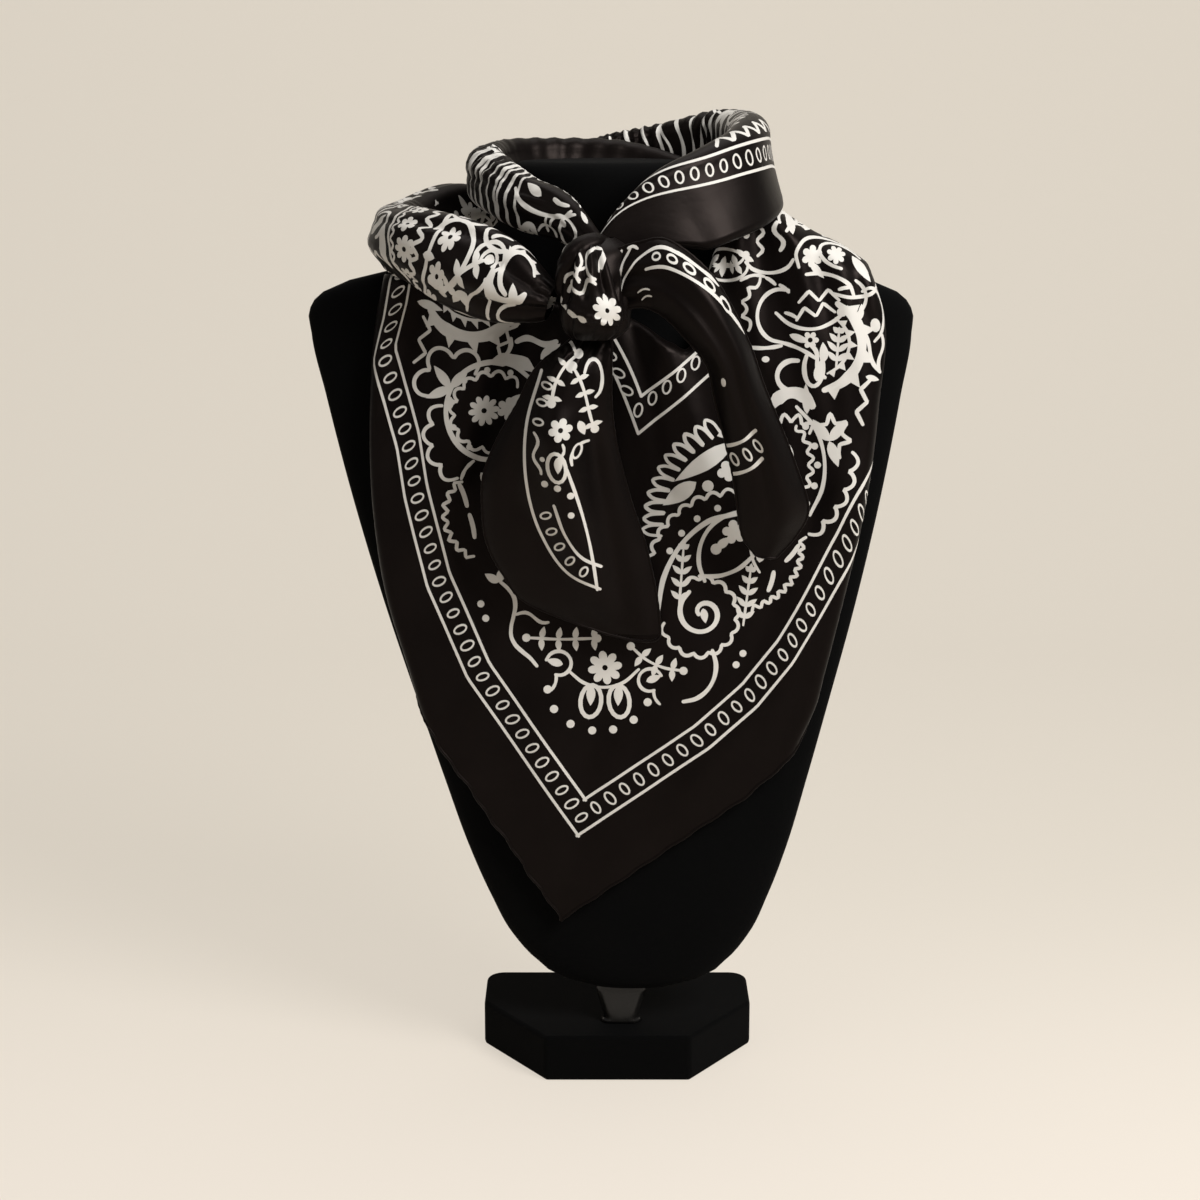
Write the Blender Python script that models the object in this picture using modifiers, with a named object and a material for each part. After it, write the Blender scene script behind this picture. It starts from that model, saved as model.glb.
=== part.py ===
"""A silk wild rag tied round a velvet bust stand.

The square is folded to a point, hung over the chest with its top edge rolled round the neck, and its two
ends are brought back over the shoulders and knotted in front. Sizes are in millimetres, and MM turns them
into metres. +Z is up, the wearer's front faces -Y, and the origin is the middle of the base's underside.
"""
import math

import bmesh
import bpy
import numpy as np

MM = 0.001

# Cloth
WALL = 1.6              # wall of the panels, thicker than silk so that it prints and collides
CLEAR = 0.35            # air between a piece and what carries it

# Stand
BASE_WIDTH = 148.0
BASE_DEPTH = 95.0
BASE_HEIGHT = 25.4
BASE_FRONT_WIDTH = 78.0     # front edge between the two cut corners
BASE_CUT_DEPTH = 50.0       # how far back the cut corners reach
BASE_CORNER = 10.0          # radius of the two back corners
BASE_EDGE = 2.2             # velvet-covered edges are a little round
POST_X = 2.0                # the post stands in the front half of the base
POST_Y = -22.0
POST_WIDTHS = (17.0, 27.0)  # across, at the foot and where it enters the bust
POST_THICK = 12.0
POST_IN_BUST = 22.0         # length hidden in the bust's socket

# Bust
BUST_BOTTOM = 47.0
BUST_LEAN = math.tan(math.radians(4.5))     # it leans back over the base
BUST_FOOT_X = 8.0
BUST_ROLL = -0.033                          # and a little to the side, as it stands


def table(columns, *rows):
    """Rows of numbers as one array for each named column."""
    return {name: np.array(values, float) for name, values in zip(columns.split(), zip(*rows))}


TORSO = table(
    "z    half  front back square",
    (47,   24,   10,   7,   2.2),
    (51,   38,   13,   9,   2.3),
    (60,   51,   16,   11,  2.4),
    (75,   64,   18,   12,  2.6),
    (97,   75,   20,   13,  2.8),
    (125,  86,   21,   14,  3.0),
    (160,  97,   22,   14,  3.0),
    (200,  109,  22,   14,  3.0),
    (255,  125,  22,   14,  3.0),
    (310,  139,  22,   14,  3.0),
    (366,  151,  22,   14,  3.0),
    (398,  157,  22,   14,  3.0),
    (411,  157,  21,   14,  3.0),
    (419,  150,  20,   13,  2.9),
    (425,  136,  19,   13,  2.8),
    (430,  115,  19,   13,  2.6),
    (437,  89,   21,   16,  2.3),
    (446,  69,   26,   22,  2.1),
    (456,  56,   32,   30,  2.0),
    (468,  51,   36,   36,  2.0),
    (480,  49,   37,   37,  2.0),
    (484,  47.5, 35.5, 35.5, 2.0),
    (486,  44,   32,   32,  2.0),
)

# The front panel: hems of the hanging corner, walked from its tip in straight stretches.
TIP = (-30.0, 91.0)
LEFT_HEM = table("length bearing", (136, 124), (52, 113), (185, 100))
RIGHT_HEM = table("length bearing", (117, 34.5), (33, 42), (30, 52), (60, 60), (220, 63))

# Where the front panel turns away from the eye on each side, by height.
SIDES = table(
    "z    left  right",
    (70,  -90,  90),
    (135, -80,  70),
    (160, -84,  84),
    (188, -98,  95),
    (223, -109, 106),
    (265, -121, 118),
    (307, -127, 127),
    (363, -128, 134),
    (410, -124, 136),
    (430, -120, 130),
    (500, -118, 118),
)
TURN_RADIUS = 5.0
TURNED_UNDER = 34.0         # most cloth that a side turns under

# The panel's upper edge, the crest that it rolls over there and how round that is, by distance across.
TOP = table(
    "x     edge  crest radius",
    (-160, 430,  428,  4),
    (-120, 432,  430,  4),
    (-90,  431,  429,  4),
    (-60,  426,  424,  4),
    (-30,  418,  416,  4),
    (0,    413,  411,  4),
    (14,   406,  404,  4),
    (27,   398,  396,  4),
    (38,   399,  397,  4),
    (46,   434,  432,  5),
    (54,   462,  456,  8),
    (64,   484,  468,  9),
    (76,   504,  467,  11),
    (88,   517,  459,  12),
    (101,  514,  451,  12),
    (114,  508,  445,  12),
    (126,  492,  437,  12),
    (136,  470,  430,  12),
    (170,  445,  424,  12),
)
SHOULDER_REACH = 30.0       # how far the panel runs back over the shoulder before it falls behind
FLAT_BELOW = 250.0          # the upper edge's dips don't reach below this

# How far the panel stands off the bust's middle plane, by height.
STANDOFF = table(
    "z    middle side",
    (70,  24.5,  20.6),
    (120, 26.0,  24.6),
    (180, 27.5,  28.6),
    (260, 29.5,  31.1),
    (340, 31.5,  32.1),
    (400, 32.0,  30.9),
    (430, 31.0,  30.7),
    (520, 31.0,  31.0),
)
# Soft folds of the panel: a line from (x, z) to (x, z), its half width and height.
FOLDS = table(
    "x0    z0   x1    z1   width height",
    (-60,  418, -104, 300, 13,   4.5),
    (-30,  410, -62,  250, 15,   3.5),
    (92,   452, 112,  330, 13,   5.0),
    (64,   440, 88,   300, 11,   4.0),
    (118,  430, 120,  300, 9,    3.0),
    (20,   395, 30,   250, 16,   2.5),
    (-40,  200, -34,  110, 14,   2.0),
)

# Rolled stretches: centre of the roll, then half its height and half its depth.
LEFT_ROLL = table(
    "x     y     z    tall  deep",
    (46,   52,   455, 7,    5),
    (22,   64,   452, 9,    7),
    (-8,   68,   451, 10,   8),
    (-38,  65,   452, 11,   9),
    (-64,  54,   456, 13,   10),
    (-88,  36,   458, 16,   12),
    (-109, 8,    450, 17,   15),
    (-113, -20,  449, 17,   15),
    (-99,  -43,  446, 20,   16),
    (-77,  -55,  438, 23,   17),
    (-57,  -63,  430, 21,   16),
    (-42,  -68,  424, 14,   13),
    (-33,  -70,  421, 9,    9),
)
NECK_BAND = table(
    "x     y     z    tall  deep",
    (-15,  -56,  455, 7,    4),
    (-29,  -46,  461, 12,   8),
    (-46,  -35,  467, 14,   10),
    (-60,  -18,  474, 15,   12),
    (-68,  8,    479, 15,   12),
    (-60,  38,   482, 14,   10),
    (-34,  58,   483, 13,   8),
    (0,    61,   483, 12,   7),
    (28,   56,   478, 10,   6),
    (46,   44,   472, 7,    5),
)

# The collar on the other side is the same roll fallen open: an inner leaf, a round crown and an outer leaf
# that flares to its hem.
COLLAR = table(
    "x    y     z    crown inner outer flare",
    (-14, 76,   492, 3.5,  18,   16,   4),
    (16,  76,   497, 5.0,  20,   20,   8),
    (50,  64,   501, 8.5,  22,   27,   9),
    (65,  33,   500, 11.0, 24,   32,   8),
    (67,  2,    498, 11.0, 24,   33.7, 8),
    (58,  -25,  491, 9.5,  22,   31.4, 11),
    (40,  -43,  480, 7.0,  20,   28,   12),
    (20,  -53,  466, 5.0,  15,   21,   8),
    (-0.5, -58.6, 454, 3.5, 7,   10,   4),
)

KNOT = table(
    "z    x    y    wide deep",
    (453, -10, -68, 7,   6),
    (449, -10, -69, 14,  12),
    (440, -10, -71, 19,  17),
    (428, -10, -72, 21,  19),
    (416, -11, -72, 20,  19),
    (407, -12, -71, 16,  15),
    (403, -13, -70, 11,  10),
)

# Loose ends, by the height of each edge; bulge is how far the middle stands before the edges.
LEFT_TAIL = table(
    "x0   z0   x1   z1   y    bulge",
    (-25, 402, -4,  402, -68, 4),
    (-37, 393, -4,  392, -69, 8),
    (-51, 370, -4,  372, -67, 13),
    (-61, 352, -2,  353, -64, 15),
    (-68, 334, 2,   335, -61, 15),
    (-69, 316, 7,   316, -58, 14),
    (-67, 298, 13,  298, -55, 12),
    (-59, 281, 17,  281, -53, 10),
    (-46, 265, 20,  266, -51, 7),
    (-26, 256, 21,  256, -50, 4),
    (-6,  248, 21,  248, -49, 1.5),
)
RIGHT_TAIL = table(
    "x0   z0   x1   z1   y    bulge",
    (10,  421, 10,  436, -76, 3),
    (21,  417, 24,  443, -80, 7),
    (33,  405, 46,  431, -82, 10),
    (43,  391, 62,  404, -80, 11),
    (47,  374, 71,  381, -76, 11),
    (52,  355, 79,  360, -71, 11),
    (57,  334, 88,  336, -66, 10),
    (60,  315, 94,  316, -62, 8),
    (63,  301, 89,  302, -58, 5),
    (70,  291, 80,  290, -56, 2),
)


def column(rows, key, name, at):
    """A column read between the rows, on a smooth curve through them."""
    knots, values = rows[key], rows[name]
    order = np.argsort(knots)
    knots, values = knots[order], values[order]
    slopes = np.gradient(values, knots)
    at = np.clip(at, knots[0], knots[-1])
    i = np.clip(np.searchsorted(knots, at) - 1, 0, len(knots) - 2)
    span = knots[i + 1] - knots[i]
    t = (at - knots[i]) / span
    return (
        (2 * t**3 - 3 * t**2 + 1) * values[i]
        + (t**3 - 2 * t**2 + t) * span * slopes[i]
        + (3 * t**2 - 2 * t**3) * values[i + 1]
        + (t**3 - t**2) * span * slopes[i + 1]
    )


def along(rows, name, t):
    """A column read at a fraction t of the way down the table."""
    count = len(rows[name])
    return column({"row": np.arange(count), name: rows[name]}, "row", name, np.asarray(t) * (count - 1))


def bust_x(z):
    return BUST_FOOT_X + (z - BUST_BOTTOM) * BUST_ROLL


def bust_y(z):
    return POST_Y + (z - BUST_BOTTOM) * BUST_LEAN


def hem(rows, length):
    """The point of a hem at a length from the tip, laid flat on the front."""
    x, z = TIP
    for run, bearing in zip(rows["length"], np.radians(rows["bearing"])):
        step = np.clip(length, 0, run)
        x = x + step * np.cos(bearing)
        z = z + step * np.sin(bearing)
        length = length - step
    return x, z


def turned(distance, radius):
    """A cloth's way round an edge: how far across and how far back, past the start of its turn."""
    half = math.pi * radius
    angle = np.clip(distance / radius, 0, math.pi)
    beyond = np.maximum(distance - half, 0)
    across = np.where(distance < 0, distance, radius * np.sin(angle) - beyond)
    back = np.where(distance < 0, 0, radius * (1 - np.cos(angle)))
    return across, back


def fold_height(x, z):
    height = 0
    for x0, z0, x1, z1, width, tall in zip(*(FOLDS[name] for name in "x0 z0 x1 z1 width height".split())):
        run = np.array([x1 - x0, z1 - z0])
        length = np.hypot(*run)
        t = ((x - x0) * run[0] + (z - z0) * run[1]) / length**2
        off = ((x - x0) * run[1] - (z - z0) * run[0]) / length
        ends = np.clip(t, 0, 1)
        beyond = (t - ends) * length
        height = height + tall * np.exp(-(off / width) ** 2 - (beyond / 30) ** 2) * (1 - 0.5 * ends)
    return height


def bib_point(x, z):
    """A point of the front panel from its place on the flat front, wrapped round its edges."""
    left = column(SIDES, "z", "left", z)
    right = column(SIDES, "z", "right", z)
    radius = TURN_RADIUS
    middle = (left + right) / 2
    reach_right, back_right = turned(x - (right - radius), radius)
    reach_left, back_left = turned((left + radius) - x, radius)
    across = np.where(x > middle, right - radius + reach_right, left + radius - reach_left)
    back = np.where(x > middle, back_right, back_left)
    crest = column(TOP, "x", "crest", across)
    bend = column(TOP, "x", "radius", across)
    rise = z - (crest - bend)
    angle = np.clip(rise / bend, 0, math.pi / 2)
    run = np.maximum(rise - bend * math.pi / 2, 0)
    flat = np.minimum(run, SHOULDER_REACH)
    drop = (run - flat) / bend
    fall = np.minimum(drop, math.pi / 2)
    up = np.where(rise < 0, z, crest - bend + bend * np.sin(angle))
    up = up - 0.12 * flat - bend * (1 - np.cos(fall)) - bend * np.maximum(drop - math.pi / 2, 0)
    over = np.where(rise < 0, 0, bend * (1 - np.cos(angle))) + flat + bend * np.sin(fall)
    share = np.clip(np.abs(across - middle) / (right - middle), 0, 1) ** 2
    off = column(STANDOFF, "z", "middle", up) * (1 - share) + column(STANDOFF, "z", "side", up) * share
    ease = np.clip(1 - (back + over) / 6, 0, 1)
    depth = bust_y(up) - off - fold_height(across, up) * ease + back + over
    return across, depth, up


def new_material(name, colour, roughness, metallic=0.0):
    material = bpy.data.materials.new(name)
    material.use_nodes = True
    shader = material.node_tree.nodes["Principled BSDF"]
    shader.inputs["Base Color"].default_value = (*colour, 1)
    shader.inputs["Roughness"].default_value = roughness
    shader.inputs["Metallic"].default_value = metallic
    return material


def new_object(name, mesh, material, collection):
    piece = bpy.data.objects.new(name, mesh)
    collection.objects.link(piece)
    if material:
        mesh.materials.append(material)
    return piece


def grid_mesh(name, points, ring=False, caps=False):
    """A mesh over rows of points, closed round each row for a ring, with its two ends filled for caps."""
    rows, columns = points.shape[:2]
    mesh = bmesh.new()
    grid = [[mesh.verts.new(point * MM) for point in row] for row in points]
    for i in range(rows - 1):
        for j in range(columns if ring else columns - 1):
            k = (j + 1) % columns
            mesh.faces.new((grid[i][j], grid[i][k], grid[i + 1][k], grid[i + 1][j]))
    if caps:
        mesh.faces.new(grid[0])
        mesh.faces.new(grid[-1])
    bmesh.ops.recalc_face_normals(mesh, faces=mesh.faces)
    out = bpy.data.meshes.new(name)
    mesh.to_mesh(out)
    mesh.free()
    out.shade_smooth()
    return out


def add_wall(piece, wall, even=True):
    solid = piece.modifiers.new("Wall", "SOLIDIFY")
    solid.thickness = wall * MM
    solid.offset = 0
    solid.use_even_offset = even


def frames(path):
    """Unit tangents of a path of points."""
    tangent = np.gradient(path, axis=0)
    return tangent / np.linalg.norm(tangent, axis=1, keepdims=True)


def across_path(tangent, reference):
    """The two directions across a path: one near the reference, one square to it."""
    up = reference - tangent * np.sum(tangent * reference, axis=1, keepdims=True)
    up = up / np.linalg.norm(up, axis=1, keepdims=True)
    return up, np.cross(tangent, up)


def make_base(material, collection):
    front = BASE_FRONT_WIDTH / 2
    side = BASE_WIDTH / 2
    near, far = -BASE_DEPTH / 2, BASE_DEPTH / 2
    outline = [(-front, near), (front, near), (side, near + BASE_CUT_DEPTH)]
    for start, cx in ((0, side - BASE_CORNER), (90, BASE_CORNER - side)):
        for step in range(5):
            angle = math.radians(start + step * 22.5)
            outline.append(
                (cx + BASE_CORNER * math.cos(angle), far - BASE_CORNER + BASE_CORNER * math.sin(angle))
            )
    outline.append((-side, near + BASE_CUT_DEPTH))
    mesh = bmesh.new()
    bottom = mesh.faces.new([mesh.verts.new((x * MM, y * MM, 0)) for x, y in outline])
    pulled = bmesh.ops.extrude_face_region(mesh, geom=[bottom])["geom"]
    for vert in pulled:
        if isinstance(vert, bmesh.types.BMVert):
            vert.co.z = BASE_HEIGHT * MM
    bmesh.ops.recalc_face_normals(mesh, faces=mesh.faces)
    out = bpy.data.meshes.new("base")
    mesh.to_mesh(out)
    mesh.free()
    piece = new_object("base", out, material, collection)
    bevel = piece.modifiers.new("Edge", "BEVEL")
    bevel.width = BASE_EDGE * MM
    bevel.segments = 3
    bevel.limit_method = "ANGLE"
    bevel.angle_limit = math.radians(30)
    return piece


def post_rings(grow=0.0):
    """Rounded rings of the post from its foot up into the bust."""
    foot = BASE_HEIGHT + CLEAR
    top = BUST_BOTTOM + POST_IN_BUST
    rings = []
    for share, half in ((0, POST_WIDTHS[0] / 2 + 2.5), (0.06, POST_WIDTHS[0] / 2), (0.5, POST_WIDTHS[1] / 2),
                        (1, POST_WIDTHS[1] / 2)):
        z = foot + (top - foot) * share
        ring = []
        for step in range(24):
            angle = 2 * math.pi * step / 24
            x = math.copysign(abs(math.cos(angle)) ** 0.6, math.cos(angle)) * (half + grow)
            y = math.copysign(abs(math.sin(angle)) ** 0.6, math.sin(angle)) * (POST_THICK / 2 + grow)
            ring.append((POST_X + x, bust_y(z) + y, z + (grow if share == 1 else 0)))
        rings.append(ring)
    return np.array(rings)


def make_bust(material, collection, cutters):
    heights = []
    for low, high in zip(TORSO["z"], TORSO["z"][1:]):
        heights += list(np.linspace(low, high, 3 if high - low > 30 else 2)[:-1])
    heights.append(TORSO["z"][-1])
    rings = []
    for z in heights:
        half, front, back, square = (column(TORSO, "z", name, z) for name in "half front back square".split())
        angle = np.linspace(0, 2 * math.pi, 44, endpoint=False)
        x = np.sign(np.cos(angle)) * np.abs(np.cos(angle)) ** (2 / square) * half
        y = np.sign(np.sin(angle)) * np.abs(np.sin(angle)) ** (2 / square)
        y = np.where(y < 0, y * front, y * back)
        rings.append(np.stack([bust_x(z) + x, bust_y(z) + y, np.full_like(x, z)], axis=1))
    bust = new_object("display_bust", grid_mesh("display_bust", np.array(rings), ring=True, caps=True), material,
                      collection)
    socket = new_object("socket_cutter", grid_mesh("socket_cutter", post_rings(CLEAR), ring=True, caps=True), None,
                        cutters)
    socket.hide_render = True
    socket.display_type = "WIRE"
    cut = bust.modifiers.new("Socket", "BOOLEAN")
    cut.operation = "DIFFERENCE"
    cut.solver = "EXACT"
    cut.object = socket
    return bust


def make_bib(material, collection):
    """The corner that hangs over the chest, in rows that run from one hem to the other."""
    left_length, right_length = LEFT_HEM["length"].sum(), RIGHT_HEM["length"].sum()
    ends = (hem(LEFT_HEM, left_length), hem(RIGHT_HEM, right_length))
    points = []
    for step in np.linspace(0.01, 1, 23) ** 0.9:
        lx, lz = hem(LEFT_HEM, left_length * step)
        rx, rz = hem(RIGHT_HEM, right_length * step)
        slope = (rz - lz) / (rx - lx)
        left = right = (lx + rx) / 2
        for _ in range(4):
            left = column(SIDES, "z", "left", lz + slope * (left - lx))
            right = column(SIDES, "z", "right", lz + slope * (right - lx))
        lx, start = max(lx, left - TURNED_UNDER), lx
        rx = min(rx, right + TURNED_UNDER)
        near = 0.2 * (rx - lx)
        turn_left = max(left + TURN_RADIUS, lx + min(near, 8))
        turn_right = min(right - TURN_RADIUS, rx - min(near, 8))
        x = np.concatenate([np.linspace(lx, turn_left, 8)[:-1], np.linspace(turn_left, turn_right, 20)[:-1],
                            np.linspace(turn_right, rx, 8)])
        z = lz + slope * (x - start)
        z_end = ends[0][1] + (ends[1][1] - ends[0][1]) * (x - ends[0][0]) / (ends[1][0] - ends[0][0])
        climb = np.clip((z - FLAT_BELOW) / (z_end - FLAT_BELOW), 0, 1)
        z = z + (column(TOP, "x", "edge", x) - z_end) * climb**2 * (3 - 2 * climb)
        points.append(np.stack(bib_point(x, z), axis=1))
    bib = new_object("front_bib", grid_mesh("front_bib", np.array(points)), material, collection)
    add_wall(bib, WALL, even=False)
    return bib


def make_roll(name, rows, count, ridges, material, collection):
    """A rolled stretch: rings with shallow grooves where its layers lie over each other."""
    t = np.linspace(0, 1, count)
    path = np.stack([along(rows, axis, t) for axis in "xyz"], axis=1)
    up, side = across_path(frames(path), np.array([0, 0, 1.0]))
    tall, deep = along(rows, "tall", t), along(rows, "deep", t)
    angle = np.linspace(0, 2 * math.pi, 20, endpoint=False)
    rings = []
    for i in range(count):
        layer = 1 - 0.07 * np.cos(ridges * angle + 4 * t[i]) ** 2
        ring = path[i] + np.outer(np.cos(angle) * layer * tall[i], up[i])
        rings.append(ring + np.outer(np.sin(angle) * layer * deep[i], side[i]))
    mesh = grid_mesh(name, np.array(rings), ring=True, caps=True)
    return new_object(name, mesh, material, collection)


def make_collar(material, collection):
    """The roll fallen open, as a folded wall along its path."""
    count = 24
    t = np.linspace(0, 1, count)
    path = np.stack([along(COLLAR, axis, t) for axis in "xyz"], axis=1)
    up, outward = across_path(frames(path), np.array([0, 0, 1.0]))
    outward = -outward * np.sign(np.sum(outward * (np.array([0, 5, 0]) - path), axis=1, keepdims=True))
    crown, inner, outer, flare = (along(COLLAR, name, t) for name in "crown inner outer flare".split())
    rows = []
    for i in range(count):
        section = [(-crown[i], -inner[i] * share) for share in (1, 0.66, 0.33)]
        for angle in np.radians(np.linspace(180, 0, 7)):
            section.append((crown[i] * math.cos(angle), crown[i] * math.sin(angle)))
        for share in (0.2, 0.4, 0.6, 0.8, 1):
            section.append((crown[i] + flare[i] * share**1.3, -outer[i] * share))
        rows.append([path[i] + outward[i] * out + up[i] * rise for out, rise in section])
    collar = new_object("right_collar", grid_mesh("right_collar", np.array(rows)), material, collection)
    add_wall(collar, WALL)
    return collar


def make_knot(material, collection):
    count = 14
    t = np.linspace(0, 1, count)
    x, y, z, wide, deep = (along(KNOT, name, t) for name in "x y z wide deep".split())
    angle = np.linspace(0, 2 * math.pi, 24, endpoint=False)
    rings = []
    for i in range(count):
        crease = 1 - 0.06 * np.cos(2.5 * angle + 5 * t[i]) ** 2
        ring = [x[i] + np.cos(angle) * wide[i] * crease, y[i] + np.sin(angle) * deep[i] * crease,
                z[i] + 0 * angle]
        rings.append(np.stack(ring, axis=1))
    mesh = grid_mesh("knot", np.array(rings), ring=True, caps=True)
    return new_object("knot", mesh, material, collection)


def make_tail(name, rows, count, material, collection):
    """A loose end, a wall bowed forward between its two edges."""
    t = np.linspace(0, 1, count)
    x0, z0, x1, z1, y, bulge = (along(rows, key, t)[:, None] for key in "x0 z0 x1 z1 y bulge".split())
    share = np.linspace(0, 1, 13)[None, :]
    bow = np.sin(math.pi * share) ** 0.8 + 0.12 * np.sin(3 * math.pi * share + 2 * t[:, None])
    x = x0 + (x1 - x0) * (share - 0.03 * np.sin(2 * math.pi * share))
    z = z0 + (z1 - z0) * share
    points = np.stack([x, y - bulge * bow, z], axis=2)
    tail = new_object(name, grid_mesh(name, points), material, collection)
    add_wall(tail, WALL)
    return tail


def main():
    for item in list(bpy.data.objects):
        bpy.data.objects.remove(item, do_unlink=True)
    parts = bpy.data.collections.new("wild_rag_on_bust")
    cutters = bpy.data.collections.new("cutters")
    for collection in (parts, cutters):
        bpy.context.scene.collection.children.link(collection)
    make_base(new_material("base_velvet", (0.006, 0.006, 0.006), 0.95), parts)
    post = grid_mesh("post", post_rings(), ring=True, caps=True)
    new_object("post", post, new_material("post_lacquer", (0.01, 0.01, 0.01), 0.3), parts)
    make_bust(new_material("bust_velvet", (0.004, 0.004, 0.004), 0.95), parts, cutters)
    silk = (0.012, 0.010, 0.009)
    make_bib(new_material("bib_silk", silk, 0.45), parts)
    make_roll("neck_band", NECK_BAND, 32, 1.5, new_material("band_silk", silk, 0.45), parts)
    make_roll("left_roll", LEFT_ROLL, 32, 2.0, new_material("roll_silk", silk, 0.45), parts)
    make_collar(new_material("collar_silk", silk, 0.45), parts)
    make_knot(new_material("knot_silk", silk, 0.45), parts)
    make_tail("left_tail", LEFT_TAIL, 19, new_material("left_tail_silk", silk, 0.45), parts)
    make_tail("right_tail", RIGHT_TAIL, 19, new_material("right_tail_silk", silk, 0.45), parts)


main()
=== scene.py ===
import math

import bmesh
import bpy
import numpy as np
from mathutils.geometry import delaunay_2d_cdt
from mathutils.kdtree import KDTree
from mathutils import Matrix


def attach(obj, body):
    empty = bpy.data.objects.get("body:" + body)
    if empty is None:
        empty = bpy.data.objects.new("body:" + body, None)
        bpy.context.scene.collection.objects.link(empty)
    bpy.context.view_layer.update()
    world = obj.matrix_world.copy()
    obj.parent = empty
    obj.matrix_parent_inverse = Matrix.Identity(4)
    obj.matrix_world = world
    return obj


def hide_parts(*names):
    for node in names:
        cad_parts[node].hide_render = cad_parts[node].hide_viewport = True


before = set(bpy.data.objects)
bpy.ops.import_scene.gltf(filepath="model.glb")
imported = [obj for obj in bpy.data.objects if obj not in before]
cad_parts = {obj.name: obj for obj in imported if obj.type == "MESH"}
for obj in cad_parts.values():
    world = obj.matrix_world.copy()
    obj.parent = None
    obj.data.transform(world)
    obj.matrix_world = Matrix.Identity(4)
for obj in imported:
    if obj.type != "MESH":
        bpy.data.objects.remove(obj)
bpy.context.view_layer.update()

mm = 0.001      # the pieces are sized in millimetres, and the camera and the studio in metres


# reading tables

def table(names, *rows):
    return {name: np.array(values, float) for name, values in zip(names.split(), zip(*rows))}


def rowsOf(rows):
    return zip(*rows.values())


def column(rows, key, name, at):
    # a column read between its rows, on a smooth curve through them
    knots, values = rows[key], rows[name]
    order = np.argsort(knots)
    knots, values = knots[order], values[order]
    slopes = np.gradient(values, knots)
    at = np.clip(at, knots[0], knots[-1])
    i = np.clip(np.searchsorted(knots, at) - 1, 0, len(knots) - 2)
    span = knots[i + 1] - knots[i]
    t = (at - knots[i]) / span
    return ((2 * t**3 - 3 * t**2 + 1) * values[i] + (t**3 - 2 * t**2 + t) * span * slopes[i]
            + (3 * t**2 - 2 * t**3) * values[i + 1] + (t**3 - t**2) * span * slopes[i + 1])


def columns(rows, key, names, at):
    return (column(rows, key, name, at) for name in names.split())


def along(rows, names, t):
    # columns read at a fraction t of the way down their table
    count = len(rows[names.split()[0]])
    return columns(rows | {"row": np.arange(count)}, "row", names, np.asarray(t) * (count - 1))


# reckoning with points

def pointsOf(*axes):
    return np.stack(axes, axis=1)


def unit(ways):
    return ways / np.maximum(np.linalg.norm(ways, axis=1, keepdims=True), 1e-9)


def farAlong(path):
    # the length of a path so far, at each of its points
    return np.concatenate([[0], np.cumsum(np.linalg.norm(np.diff(path, axis=0), axis=1))])


def squared(values, power):
    # a sine or cosine bent so that a circle becomes a rounded box
    return np.sign(values) * np.abs(values) ** power


def smoothPath(points, step=1.6, closed=False):
    # a soft curve through a few points, with a point about every step
    points = np.array(points, float)
    if closed:
        points = np.concatenate([points[-2:], points, points[:3]])
    strides = np.linalg.norm(np.diff(points, axis=0), axis=1)
    run = np.concatenate([[0], np.cumsum(np.maximum(strides, 1e-6))])
    low, high = (run[2], run[-3]) if closed else (0, run[-1])
    at = np.linspace(low, high, max(3, int(math.ceil((high - low) / step)) + 1))
    if closed:
        at = at[:-1]
    return pointsOf(*(column({"run": run, "value": axis}, "run", "value", at) for axis in points.T))


# finishes

def plug(tree, node, sockets):
    # gives each named socket of a node a value, or another node's output
    for name, value in sockets.items():
        if isinstance(value, bpy.types.NodeSocket):
            tree.links.new(value, node.inputs[name])
        else:
            node.inputs[name].default_value = value
    return node


def addNode(tree, kind, sockets):
    return plug(tree, tree.nodes.new(kind), sockets)


def addNoise(tree, place, sockets):
    return addNode(tree, "ShaderNodeTexNoise", {"Vector": place, **sockets}).outputs["Fac"]


def mathNode(tree, operation, *values):
    node = tree.nodes.new("ShaderNodeMath")
    node.operation = operation
    return plug(tree, node, dict(enumerate(values))).outputs[0]


def mixedColours(tree, share, first, second):
    node = tree.nodes.new("ShaderNodeMix")
    node.data_type = "RGBA"
    return plug(tree, node, {"Factor": share, "A": first, "B": second}).outputs["Result"]


def newGroup(name, inputs, outputs):
    # a group of shader nodes with named sockets, the outputs of its first node, and its last node
    def kindOf(socketName):
        return "NodeSocketColor" if "Colour" in socketName else "NodeSocketFloat"

    group = bpy.data.node_groups.new(name, "ShaderNodeTree")
    for socketName, value in inputs.items():
        socket = group.interface.new_socket(socketName, in_out="INPUT", socket_type=kindOf(socketName))
        socket.default_value = value
    for socketName in outputs:
        group.interface.new_socket(socketName, in_out="OUTPUT", socket_type=kindOf(socketName))
    return group, group.nodes.new("NodeGroupInput").outputs, group.nodes.new("NodeGroupOutput")


def newMaterial(name):
    material = bpy.data.materials.new(name)
    material.use_nodes = True
    return material, material.node_tree


def finishShader(tree, height, strength, depth, sockets):
    # the main shader's sockets, and a bump that's depth deep in millimetres
    bump = addNode(tree, "ShaderNodeBump", {"Height": height, "Strength": strength, "Distance": depth * mm})
    plug(tree, tree.nodes["Principled BSDF"], {"Normal": bump.outputs["Normal"], **sockets})


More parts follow.
